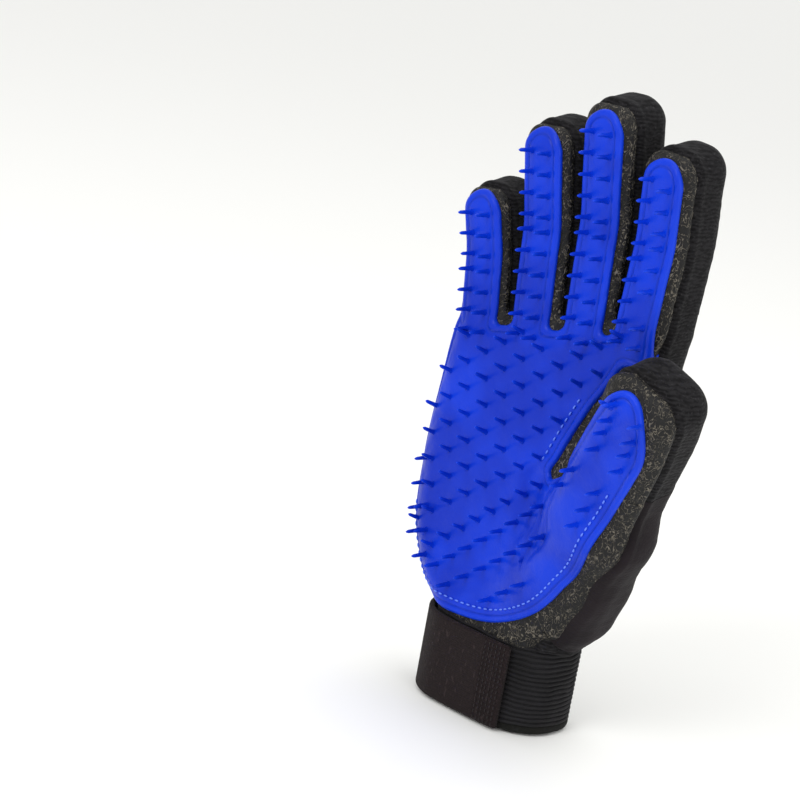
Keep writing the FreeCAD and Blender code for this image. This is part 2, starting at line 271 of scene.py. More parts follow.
def surface_net(shape: Field, low: Array, high: Array, step: float = GRID) -> Skin:
    """Meshes the zero surface of a distance field.

    Args:
        shape: The field, negative inside.
        low: Lowest corner of the box to search.
        high: Highest corner.
        step: Grid spacing.

    Returns:
        The surface, with its points moved exactly onto the field's zero.
    """
    coarse = step * 4
    counts = [int(math.ceil((h - l) / coarse)) for l, h in zip(low, high)]
    rough_axes = [l + coarse * (np.arange(n) + 0.5) for l, n in zip(low, counts)]
    rough = shape(np.stack(np.meshgrid(*rough_axes, indexing="ij"), -1))
    values = np.repeat(np.repeat(np.repeat(rough, 4, 0), 4, 1), 4, 2)
    close = np.argwhere(np.abs(values) < coarse * 1.6)
    values[tuple(close.T)] = shape(np.asarray(low) + (close + 0.5) * step)
    inside = values < 0
    corners = np.array([(i, j, k) for i in (0, 1) for j in (0, 1) for k in (0, 1)])
    dims = np.array(values.shape) - 1
    hits = sum(inside[i:i + dims[0], j:j + dims[1], k:k + dims[2]].astype(np.int8) for i, j, k in corners)
    active = (hits > 0) & (hits < 8)
    cells = np.argwhere(active)
    number = np.full(dims, -1)
    number[active] = np.arange(len(cells))
    place, weight = np.zeros((len(cells), 3)), np.zeros(len(cells))
    for a in corners:
        for k in range(3):
            if a[k]:
                continue
            b = a + np.eye(3, dtype=int)[k]
            va, vb = values[tuple((cells + a).T)], values[tuple((cells + b).T)]
            cross = (va < 0) != (vb < 0)
            t = np.where(cross, va / np.where(cross, va - vb, 1), 0)
            place += np.where(cross[:, None], a + t[:, None] * (b - a), 0)
            weight += cross
    points = np.asarray(low) + (cells + place / weight[:, None] + 0.5) * step
    quads = []
    for k in range(3):
        i, j = (k + 1) % 3, (k + 2) % 3
        edge = np.eye(3, dtype=int)
        span = [slice(1, dims[0]), slice(1, dims[1]), slice(1, dims[2])]
        span[k] = slice(0, dims[k])
        start = inside[tuple(span)]
        span[k] = slice(1, dims[k] + 1)
        end = inside[tuple(span)]
        at = np.argwhere(start != end) + (1 - edge[k])
        flip = start[start != end]
        around = ((0, 0), (1, 0), (1, 1), (0, 1))
        ring = [number[tuple((at - da * edge[i] - db * edge[j]).T)] for da, db in around]
        quad = np.stack(ring, 1)
        quads.append(np.where(flip[:, None], quad, quad[:, ::-1]))
    quads = np.concatenate(quads)
    quads = quads[(quads >= 0).all(1)]
    tris = np.concatenate([quads[:, [0, 1, 2]], quads[:, [0, 2, 3]]])
    for _ in range(2):
        normal = slope(shape, points)
        points = points - normal * shape(points)[:, None] * 0.9
    return Skin(tris, {"co": points, "normal": slope(shape, points)})


def slope(shape: Field, p: Array, reach: float = 0.5) -> Array:
    """Outward unit normal of a field at points."""
    steps = np.eye(3) * reach
    grad = np.stack([shape(p + s) - shape(p - s) for s in steps], -1)
    return grad / (np.linalg.norm(grad, axis=-1, keepdims=True) + 1e-9)


# ---------------------------------------------------------------- the glove's form


@dataclass
class DigitForm:
    """The tube of one finger or the thumb, with one soft bend.

    Attributes:
        name: The digit's name in the frame.
        lean: How many degrees the tip part leans further forward.
        tip: Length beyond the middle knuckle.
        half_width, half_depth: Half sizes of the section.
        front_corner, back_corner, tip_corner: Rounding of the edges.
        seam_depth: From the middle of the section forward to the side seam.
        hinge_depth: From the hinges back to the middle of the section.
        pin_side: From the centreline to each row of pins.
        pin_starts: Distance of the last pin of each row from the end of the digit.
        pin_pitch: Along a row.
        strip_end: From the silicone strip's end to the end of the digit.
        shift: Moves the tube across from its hinge's middle.
        along: Direction of the base part, where it isn't from hinge to hinge.
        thumb: True for the thumb, whose root is free of the palm.
    """

    name: str
    tip: float
    half_width: float
    lean: float = 9.0
    half_depth: float = 12.0
    front_corner: float = 5.5
    back_corner: float = 9.0
    tip_corner: float = 9.0
    seam_depth: float = 7.0
    hinge_depth: float = 14.1
    pin_side: float = 3.6
    pin_starts: tuple[float, float] = (9.5, 9.5)
    pin_pitch: float = 7.2
    strip_end: float = 3.0
    shift: float = 0.0
    along: tuple[float, float, float] | None = None
    thumb: bool = False

    def __post_init__(self) -> None:
        """Takes the hinge places from the frame's joints."""
        joints = {j["name"]: j for j in frame["joints"]}
        base, middle = joints[f"{self.name}_knuckle"], joints[f"{self.name}_mid_knuckle"]
        p_base, p_middle = (np.array(j["pos_m"]) / MM for j in (base, middle))
        self.across = unit(base["axis"])
        self.a0 = unit(self.along) if self.along else unit(p_middle - p_base)
        self.n0 = unit(np.cross(self.across, self.a0))
        self.a1, self.n1 = (turned(v, self.across, self.lean) for v in (self.a0, self.n0))
        self.bisector = unit(self.a0 + self.a1)
        side = self.across * self.shift
        self.c0 = p_base - self.n0 * self.hinge_depth + side
        self.c1 = p_middle - unit(self.n0 + self.n1) * self.hinge_depth + side
        self.length = float((self.c1 - self.c0) @ self.a0)
        self.end = self.length + self.tip

    def coords(self, p: Array) -> tuple[Array, Array, Array]:
        """Returns the places across, towards the palm side, and along from the knuckle."""
        d = p - self.c1
        t = ease(-9, 9, d @ self.bisector)
        v = (1 - t) * (d @ self.n0) + t * (d @ self.n1)
        w = (1 - t) * (d @ self.a0) + t * (d @ self.a1)
        return d @ self.across, v, w + self.length

    def place(self, u: float, v: float, w: float) -> Array:
        """Returns the point at those coordinates."""
        if w < self.length:
            return self.c0 + self.across * u + self.n0 * v + self.a0 * w
        return self.c1 + self.across * u + self.n1 * v + self.a1 * (w - self.length)

    def field(self, p: Array) -> Array:
        """Distance to the digit's tube."""
        u, v, w = self.coords(p)
        corner = self.back_corner + (self.front_corner - self.back_corner) * ease(-4, 7, v)
        sink = 0.0 if self.thumb else 3.0 * ease(1, -14, w)
        side = rounded(u, v, self.half_width - sink, self.half_depth - sink, corner)
        return capped(side, w - self.end, self.tip_corner)

    def strip(self, p: Array, half: float = 7.5) -> Array:
        """Distance to the outline of the silicone strip, on the palm side."""
        u, v, w = self.coords(p)
        top = self.end - self.strip_end - half
        out = np.hypot(u, np.maximum(w - top, 0)) - half
        return np.maximum(out, np.maximum(-w - 14, (1.5 - v)))


FINGERS = (
    DigitForm("index", 32.0, 10.25, pin_starts=(10.0, 11.8)),
    DigitForm("middle", 40.5, 10.25, pin_starts=(10.0, 10.0)),
    DigitForm("ring", 36.0, 10.0, strip_end=2.0),
    DigitForm("little", 24.0, 9.5, strip_end=2.0),
)
THUMB = DigitForm("thumb", 22.5, 14.8, lean=6.0, half_depth=13.0, front_corner=7.0, back_corner=10.0,
                  tip_corner=11.0, seam_depth=6.5, hinge_depth=15.1, pin_side=5.5, shift=-3.0,
                  along=(0.40, -0.233, 0.886), thumb=True)


@dataclass
class GloveForm:
    """The whole stuffed glove as one distance field."""

    heights: tuple[float, ...] = (26.0, 32.0, 40.0, 52.0, 80.0, 112.0, 160.0)
    left: tuple[float, ...] = (-27.3, -27.8, -34.5, -41.0, -44.0, -41.8, -38.5)
    right: tuple[float, ...] = (27.3, 27.3, 28.0, 29.5, 37.0, 43.0, 48.5)
    front: tuple[float, ...] = (-16.4, -16.2, -14.6, -13.2, -13.0, -13.0, -13.0)
    back: tuple[float, ...] = (18.0, 17.8, 16.0, 14.0, 13.0, 13.0, 13.0)
    corner: tuple[float, ...] = (16.0, 15.5, 12.5, 10.5, 9.6, 9.6, 9.6)
    root_start: tuple[float, ...] = (24.0, -1.0, 46.0)
    root_end: tuple[float, ...] = (41.0, -11.0, 73.0)
    web_fillet: float = 19.0

    def row(self, name: str, z: Array) -> Array:
        """Smooth curve through one of the tables of sizes, at heights z."""
        zs, vals = np.array(self.heights), np.array(getattr(self, name))
        m = np.gradient(vals, zs)
        i = np.clip(np.searchsorted(zs, z) - 1, 0, len(zs) - 2)
        h = zs[i + 1] - zs[i]
        t = np.clip((z - zs[i]) / h, 0, 1)
        return ((2 * t**3 - 3 * t**2 + 1) * vals[i] + (t**3 - 2 * t**2 + t) * h * m[i]
                + (-2 * t**3 + 3 * t**2) * vals[i + 1] + (t**3 - t**2) * h * m[i + 1])

    def palm(self, p: Array) -> Array:
        """Distance to the palm's stuffed box, which ends under the knuckle line."""
        x, y, z = p[..., 0], p[..., 1], p[..., 2]
        l, r, f, b, c = (self.row(k, z) for k in ("left", "right", "front", "back", "corner"))
        side = rounded(x - (l + r) / 2, y - (f + b) / 2, (r - l) / 2, (b - f) / 2, c)
        return capped(side, (p - KNUCKLE) @ UP + 1.0, 6.0)

    def thumb_root(self, p: Array) -> Array:
        """Distance to the ball of the thumb."""
        start, end = np.array(self.root_start), np.array(self.root_end)
        along, length = unit(end - start), np.linalg.norm(end - start)
        n = unit(THUMB.n0 - along * (THUMB.n0 @ along))
        d = p - start
        w = d @ along
        thin = ease(length - 18, length + 12, w)
        side = rounded(d @ np.cross(along, n), d @ n, 15.0 - 2.5 * thin,
                       12.8 - 1.5 * ease(25, 0, w) - 3.0 * thin, 9.0)
        return np.maximum(capped(side, w - (length + 18), 9), capped(side, -w - 4, 9))

    def thumb(self, p: Array) -> Array:
        """Distance to the whole thumb."""
        w = THUMB.coords(p)[2]
        tube = THUMB.field(p)
        tube = np.maximum(tube, capped(tube, -w - 34, 12))
        return melt(tube, self.thumb_root(p), 12.0)

    def body(self, p: Array, stub: float | None = None) -> Array:
        """Distance to the palm and thumb.

        Args:
            p: Points.
            stub: Cuts the thumb off this far beyond its knuckle.

        Returns:
            The field.
        """
        w = THUMB.coords(p)[2]
        thumb = self.thumb(p)
        if stub is not None:
            thumb = np.maximum(thumb, w - stub)
        return melt(self.palm(p), thumb, 0.3 + self.web_fillet * (1 - ease(-30, -3, w)))

    def with_finger(self, p: Array, digit: DigitForm, body: Array | None = None) -> Array:
        """Distance to the body with one finger on it."""
        body = self.palm(p) if body is None else body
        w = digit.coords(p)[2]
        return melt(body, np.maximum(digit.field(p), -w - 14), 3.0)

    def root(self, p: Array) -> Array:
        """Distance to the hand, with the thumb cut to a stub."""
        body = self.body(p, stub=4.0)
        made = body.copy()
        for digit in FINGERS:
            made = np.minimum(made, self.with_finger(p, digit, body))
        return made

    def on_thumb(self, p: Array) -> Array:
        """1 where the surface belongs to the thumb and 0 on the palm."""
        return ease(-4, 4, self.palm(p) - self.thumb(p))

    def front_point(self, x: float, z: float) -> Array:
        """The point of the palm side straight behind (x, z), looking along +Y."""
        p = np.array([[x, -60.0, z]])
        for _ in range(60):
            p[:, 1] += np.clip(self.whole(p), 0.0, 20.0) * 0.85
        return p[0]

    def whole(self, p: Array) -> Array:
        """Distance to the hand with its thumb and fingers."""
        body = self.body(p)
        made = body.copy()
        for digit in FINGERS:
            made = np.minimum(made, self.with_finger(p, digit, body))
        return made


FORM = GloveForm()


@dataclass
class PadOutline:
    """The moulded sheet's outline, seen square on to the palm as (x, z)."""

    points: tuple[tuple[float, float], ...] = (
        (-24, 33.2), (-11.4, 32.4), (3.3, 34.4), (15.2, 39.6), (24.2, 45.8), (31, 52.9), (36.2, 59.7),
        (45, 71.5), (51.4, 84), (58.5, 97), (62.6, 104.5), (66.6, 112.5), (68.4, 119.8), (68.2, 126.5),
        (66.2, 131.8), (62.6, 135), (58.4, 135.4), (53.6, 132.4), (48.5, 126.4), (43.5, 119), (37.5, 110),
        (30, 100), (24, 93.8), (18.9, 91.2), (16.4, 92.9), (17.6, 96.5), (20.3, 103.5), (23.8, 111.5),
        (27.4, 119), (31.3, 125.4), (35.6, 134), (38, 141), (38.5, 146),
        (30, 143.5), (10, 139.6), (-16, 134.6), (-32, 131.6), (-35.6, 136),
        (-39.5, 128), (-43.0, 112), (-46, 92), (-46.4, 76), (-45, 62), (-41, 48), (-34, 38.6))
    steps: int = 5

    def __post_init__(self) -> None:
        """Rounds the outline into a closed smooth line."""
        p = np.array(self.points, float)
        a, b, c, d = (np.roll(p, k, 0) for k in (1, 0, -1, -2))
        made = []
        for t in np.arange(self.steps) / self.steps:
            made.append(0.5 * (2 * b + (c - a) * t + (2 * a - 5 * b + 4 * c - d) * t**2
                               + (3 * b - a - 3 * c + d) * t**3))
        self.line = np.stack(made, 1).reshape(-1, 2)

    def sheet(self, p: Array) -> Array:
        """Signed distance to the outline; the little finger's side is unrolled round the edge."""
        x, y, z = p[:, 0], p[:, 1], p[:, 2]
        roll = np.where(x < 0, np.maximum(y + 13.0, 0) * 0.9, 0.0)
        q = np.stack([x - roll, z], 1)
        a, b = self.line, np.roll(self.line, -1, 0)
        least, inside = np.full(len(q), 1e9), np.zeros(len(q), bool)
        for s, e in zip(a, b):
            d, r = e - s, q - s
            t = np.clip(r @ d / (d @ d), 0, 1)
            least = np.minimum(least, np.linalg.norm(r - t[:, None] * d, axis=1))
            spans = (s[1] > q[:, 1]) != (e[1] > q[:, 1])
            with np.errstate(divide="ignore", invalid="ignore"):
                inside ^= spans & (q[:, 0] < d[0] * (q[:, 1] - s[1]) / d[1] + s[0])
        return np.where(inside, -least, least)

    def distance(self, p: Array, normal: Array, digits: tuple[DigitForm, ...]) -> Array:
        """Distance from the pad's edge on the surface, negative on the pad.

        Args:
            p: Points on the surface.
            normal: Their outward directions.
            digits: The fingers whose strips count.

        Returns:
            One value for each point.
        """
        made = self.sheet(p)
        for digit in digits:
            made = melt(made, digit.strip(p), 3.5)
        return np.maximum(made, (normal[:, 1] - 0.2) * 30)

    def inset(self, distance: float) -> Array:
        """The outline moved inwards, as points (x, z)."""
        ahead = np.roll(self.line, -1, 0) - np.roll(self.line, 1, 0)
        inward = np.stack([-ahead[:, 1], ahead[:, 0]], 1)
        inward /= np.linalg.norm(inward, axis=1, keepdims=True)
        return self.line + inward * distance


OUTLINE = PadOutline()


# ---------------------------------------------------------------- materials


def linear(colour: str) -> tuple[float, float, float, float]:
    """Turns an sRGB hex colour to linear RGBA."""
    parts = [int(colour[k:k + 2], 16) / 255 for k in (1, 3, 5)]
    return tuple(c / 12.92 if c <= 0.04045 else ((c + 0.055) / 1.055) ** 2.4 for c in parts) + (1.0,)


def add(tree: NodeTree, kind: str, sockets: dict | None = None, **settings: object) -> Node:
    """Adds a node with its settings, and sets or links its inputs.

    Args:
        tree: The node tree.
        kind: The node's type.
        sockets: Input name or number, to a value or to the output socket that feeds it.
        **settings: The node's own properties.

    Returns:
        The new node.
    """
    node = tree.nodes.new(kind)
    for name, value in settings.items():
        setattr(node, name, value)
    for name, value in (sockets or {}).items():
        if isinstance(value, NodeSocket):
            tree.links.new(value, node.inputs[name])
        else:
            node.inputs[name].default_value = value
    return node


@dataclass(frozen=True)
class Finish:
    """A finish: base colours and the numbers of its shader. Subclasses draw its pattern."""

    title: str
    slot: str
    base: str
    dark: str
    light: str
    roughness: float = 0.8
    sheen: float = 0.0
    ior: float = 1.5
    specular: float = 0.5

    def pattern(self, tree: NodeTree, rest: NodeSocket) -> tuple:
        """Draws the pattern. Returns the sockets of its colour and of its height in metres."""
        raise NotImplementedError

    def build(self) -> Material:
        """Makes the material, once."""
        found = bpy.data.materials.get(self.title)
        if found:
            return found
        material = bpy.data.materials.new(self.title)
        material.use_nodes = True
        tree = material.node_tree
        tree.nodes.clear()
        rest = add(tree, "ShaderNodeAttribute", attribute_name="rest").outputs["Vector"]
        colour, height = self.pattern(tree, rest)
        bump = add(tree, "ShaderNodeBump", {"Height": height, "Strength": 1.0, "Distance": 1.0})
        shader = add(tree, "ShaderNodeBsdfPrincipled", {
            "Base Color": colour, "Roughness": self.roughness, "IOR": self.ior,
            "Specular IOR Level": self.specular, "Sheen Weight": self.sheen, "Sheen Roughness": 0.45,
            "Normal": bump.outputs[0]})
        add(tree, "ShaderNodeOutputMaterial", {"Surface": shader.outputs[0]})
        return material

    def noise(self, tree: NodeTree, rest: NodeSocket, size: float,
              stretch: tuple = (1, 1, 1), detail: float = 2.0, distortion: float = 0.0) -> NodeSocket:
        """Noise whose features are about size millimetres wide, stretched along the axes."""
        where = add(tree, "ShaderNodeMapping", {"Vector": rest, "Scale": tuple(1 / s for s in stretch)})
        return add(tree, "ShaderNodeTexNoise", {"Vector": where.outputs[0], "Scale": 1 / (size * MM * 1.6),
                                                "Detail": detail, "Distortion": distortion}).outputs["Fac"]

    def maths(self, tree: NodeTree, how: str, *values: object) -> NodeSocket:
        """One arithmetic step."""
        return add(tree, "ShaderNodeMath", dict(enumerate(values)), operation=how).outputs[0]

    def ramp(self, tree: NodeTree, fac: NodeSocket, low: float, high: float,
             a: float = 0.0, b: float = 1.0) -> NodeSocket:
        """Maps low..high to a..b, clamped and eased."""
        return add(tree, "ShaderNodeMapRange", {"Value": fac, "From Min": low, "From Max": high,
                                                "To Min": a, "To Max": b},
                   interpolation_type="SMOOTHSTEP").outputs[0]

    def mix(self, tree: NodeTree, fac: object, a: object, b: object) -> NodeSocket:
        """Mixes two colours, given as hex or sockets."""
        a, b = (linear(c) if isinstance(c, str) else c for c in (a, b))
        return add(tree, "ShaderNodeMix", {0: fac, 6: a, 7: b}, data_type="RGBA").outputs[2]


@dataclass(frozen=True)
class Silicone(Finish):
    """Injection-moulded silicone: a satin skin, with painted shade in the grooves and painted highlights on
    its rounded edge and pin tips.
    """

    # Painted shade: the darker blue laid into the groove inside the sheet's border.
    groove: str = "#0a2a96"
    groove_line: float = 2.4  # from the sheet's edge to the middle of its groove, in millimetres

    def pattern(self, tree: NodeTree, rest: NodeSocket) -> tuple:
        """A cloudy colour, painted shade in the groove inside the border, painted highlights on the edge and
        the pin tips, and an eggshell skin.
        """
        rim = add(tree, "ShaderNodeAttribute", attribute_name="rim").outputs["Fac"]
        tip = add(tree, "ShaderNodeAttribute", attribute_name="tip").outputs["Fac"]
        cloudy = self.ramp(tree, self.noise(tree, rest, 14.0), 0.35, 0.65)
        cloud = self.mix(tree, cloudy, self.base, self.dark)
        # Painted shade: darker along the groove inside the border.
        off_line = self.maths(tree, "ABSOLUTE", self.maths(tree, "ADD", rim, self.groove_line))
        groove_shaded = self.mix(tree, self.ramp(tree, off_line, 0.0, 0.7, 0.45, 0.0), cloud, self.groove)
        # Painted highlight: lighter along the sheet's rounded outer edge.
        edge = self.mix(tree, self.ramp(tree, rim, -1.0, -0.4, 0.0, 0.15), groove_shaded, self.light)
        # Painted highlight: lighter towards the pin tips.
        colour = self.mix(tree, self.ramp(tree, tip, 0.6, 1.0, 0.0, 0.3), edge, self.light)
        skin = self.maths(tree, "MULTIPLY", self.noise(tree, rest, 0.5, detail=3.0), 0.00007)
        swell = self.maths(tree, "MULTIPLY", self.noise(tree, rest, 4.0), 0.0005)
        return colour, self.maths(tree, "ADD", skin, swell)


@dataclass(frozen=True)
class OpenMesh(Finish):
    """Raschel-knitted spacer mesh: looped shiny yarn over a dark ground."""

    def pattern(self, tree: NodeTree, rest: NodeSocket) -> tuple:
        """Wandering yarn loops 1 mm across, painted pale as the highlights of the shiny dark yarn, and small
        holes between them.
        """
        worm = self.noise(tree, rest, 1.2, stretch=(1, 1, 1.5), detail=1.0, distortion=1.4)
        line = self.maths(tree, "ABSOLUTE", self.maths(tree, "SUBTRACT", worm, 0.5))
        yarn = self.ramp(tree, line, 0.012, 0.05, 1.0, 0.0)
        patch = self.ramp(tree, self.noise(tree, rest, 2.0), 0.3, 0.6, 0.25, 1.0)
        # Painted highlight: pale colour on the loops where the shiny dark threads catch the light.
        yarn_highlight = self.maths(tree, "MULTIPLY", yarn, patch)
        ground = self.mix(tree, self.noise(tree, rest, 0.6), self.dark, self.base)
        colour = self.mix(tree, self.maths(tree, "MULTIPLY", yarn_highlight, 0.7), ground, self.light)
        rough = self.maths(tree, "ADD", yarn, self.noise(tree, rest, 0.9))
        height = self.maths(tree, "MULTIPLY", rough, 0.00045)
        return colour, height


@dataclass(frozen=True)
class CrinkleKnit(Finish):
    """Stretch knit with drawn-in courses: short wrinkles that lie across like bricks."""

    def pattern(self, tree: NodeTree, rest: NodeSocket) -> tuple:
        """Courses 1.5 mm apart, drawn coarser than the yarn so that they show, broken by wrinkles."""
        wander = self.maths(tree, "MULTIPLY", self.noise(tree, rest, 4.0), 0.003)
        z = add(tree, "ShaderNodeSeparateXYZ", {0: rest}).outputs[2]
        turn = self.maths(tree, "MULTIPLY", self.maths(tree, "ADD", z, wander), 2 * math.pi / 0.0013)
        course = self.maths(tree, "MULTIPLY_ADD", self.maths(tree, "SINE", turn), 0.5, 0.5)
        brick = self.noise(tree, rest, 0.8, stretch=(1.9, 1.9, 0.75), detail=3.0)
        height = self.maths(tree, "ADD", self.maths(tree, "MULTIPLY", course, 0.2), brick)
        # Painted shade: the colour darkens where the courses and wrinkles are low.
        shade = self.mix(tree, self.ramp(tree, height, 0.42, 0.78), self.dark, self.base)
        fleck = self.ramp(tree, self.noise(tree, rest, 0.45, detail=1.0), 0.62, 0.74)
        colour = self.mix(tree, self.maths(tree, "MULTIPLY", fleck, 0.35), shade, self.light)
        return colour, self.maths(tree, "MULTIPLY", height, 0.00042)


@dataclass(frozen=True)
class SmoothCloth(Finish):
    """Fine jersey laminated to foam: an even, dull face with a faint grain."""

    grain: float = 0.5

    def pattern(self, tree: NodeTree, rest: NodeSocket) -> tuple:
        """Stitches half a millimetre wide, and slow changes where the nap lies over."""
        fine = self.noise(tree, rest, self.grain, stretch=(1.4, 1.4, 0.9), detail=2.0)
        nap = self.ramp(tree, self.noise(tree, rest, 9.0), 0.35, 0.7)
        ground = self.mix(tree, fine, self.dark, self.base)
        colour = self.mix(tree, self.maths(tree, "MULTIPLY", nap, 0.35), ground, self.light)
        return colour, self.maths(tree, "MULTIPLY", fine, 0.0002)


@dataclass(frozen=True)
class WovenTape(Finish):
    """Woven tape: warp ridges one way and weft the other."""

    warp: float = 0.9
    weft: float = 0.6
    depth: float = 0.25

    def pattern(self, tree: NodeTree, rest: NodeSocket) -> tuple:
        """Warp and weft at their real spacing, with loose threads catching the light."""
        x, y, z = add(tree, "ShaderNodeSeparateXYZ", {0: rest}).outputs
        round_it = self.maths(tree, "ARCTAN2", x, self.maths(tree, "MULTIPLY", y, -1.4))
        wobble = self.maths(tree, "MULTIPLY", self.noise(tree, rest, 3.0), 2.5)
        a = self.maths(tree, "MULTIPLY_ADD", round_it, 27 * 2 * math.pi / self.warp, wobble)
        b = self.maths(tree, "MULTIPLY_ADD", z, 2 * math.pi / (self.weft * MM), wobble)
        weave = self.maths(tree, "MULTIPLY", self.maths(tree, "SINE", a), self.maths(tree, "SINE", b))
        fuzz = self.noise(tree, rest, 0.5, detail=3.0)
        height = self.maths(tree, "MULTIPLY_ADD", weave, 0.4, fuzz)
        # Painted shade: the colour darkens where the weave is low; the pale flecks are painted glints of
        # loose threads.
        shade = self.mix(tree, self.ramp(tree, height, 0.2, 0.9), self.dark, self.base)
        fleck = self.ramp(tree, self.noise(tree, rest, 0.7, stretch=(1, 1, 2.2)), 0.6, 0.72)
        colour = self.mix(tree, self.maths(tree, "MULTIPLY", fleck, 0.45), shade, self.light)
        return colour, self.maths(tree, "MULTIPLY", height, self.depth * MM)


@dataclass(frozen=True)
class StitchThread(Finish):
    """Polyester lockstitch thread: a twisted, slightly shiny cord."""

    def pattern(self, tree: NodeTree, rest: NodeSocket) -> tuple:
        """A little uneven in colour along its length."""
        fine = self.noise(tree, rest, 0.6)
        return self.mix(tree, fine, self.base, self.light), self.maths(tree, "MULTIPLY", fine, 0.00005)


# A deep blue rubber with a soft, broad shine, so that the pad reads as moulded.
SILICONE = Silicone("moulded_silicone_blue", "silicone", "#0536ca", "#042cb4", "#2350e6", 0.36, ior=1.43,
                    specular=0.22)
# Pale loops painted over black as the highlights of shiny dark yarn, which give the strip beside the pad its
# open, stringy grain.
MESH = OpenMesh("raschel_spacer_mesh_black", "mesh", "#121112", "#050505", "#7f786b", 0.6, specular=0.3)
# Dull black with short crosswise wrinkles, which show that the back is stretchy.
KNIT = CrinkleKnit("crinkled_stretch_knit_black", "back_knit", "#1e1d1f", "#080709", "#424043", 0.85, 0.03,
                   specular=0.15)
# An even, faintly warm black that sets the gusset apart from the rougher cloths.
JERSEY = SmoothCloth("laminated_jersey_black", "gusset_cloth", "#1a1418", "#100c0f", "#261f23", 0.8, 0.03,
                     specular=0.15)
# A close black rib that catches a little light on each cord.
ELASTIC = SmoothCloth("ribbed_elastic_black", "elastic", "#171618", "#0b0a0c", "#252427", 0.75, 0.03,
                      specular=0.2, grain=0.6)
# A flat, tight weave that ends the cuff with a plain dark line.
BINDING = WovenTape("woven_binding_tape_black", "binding", "#181814", "#0b0b0a", "#28282a", 0.8, specular=0.2,
                    warp=0.8)
# A brushed, slightly brown black, so that the strap stands out from the elastic.
STRAP = WovenTape("brushed_strap_cloth_black", "strap_loop_cloth", "#261c1d", "#130d0e", "#403536", 0.85,
                  0.03, specular=0.15)
# A soft nap with a pale bloom, where the hooks catch.
LOOP_TAPE = SmoothCloth("loop_tape_black", "loop_tape", "#242124", "#0f0e10", "#38343a", 0.95, 0.3, grain=0.9)
# A hard, shinier grid under the loose end.
HOOK_TAPE = WovenTape("hook_tape_black", "hook_tape", "#1c1b1c", "#0b0b0c", "#3a393c", 0.5, warp=1.4,
                      weft=1.4)
# Paler than the pad, so that the line of stitches shows.
BLUE_THREAD = StitchThread("lockstitch_thread_blue", "silicone", "#3f68e4", "#2c52d2", "#6a8bf0", 0.5)
# Darker than the strap, so that its stitching stays quiet.
BLACK_THREAD = StitchThread("lockstitch_thread_black", "strap_loop_cloth", "#1b1718", "#120f10", "#2c2728",
                            0.5, specular=0.2)


# ---------------------------------------------------------------- pieces


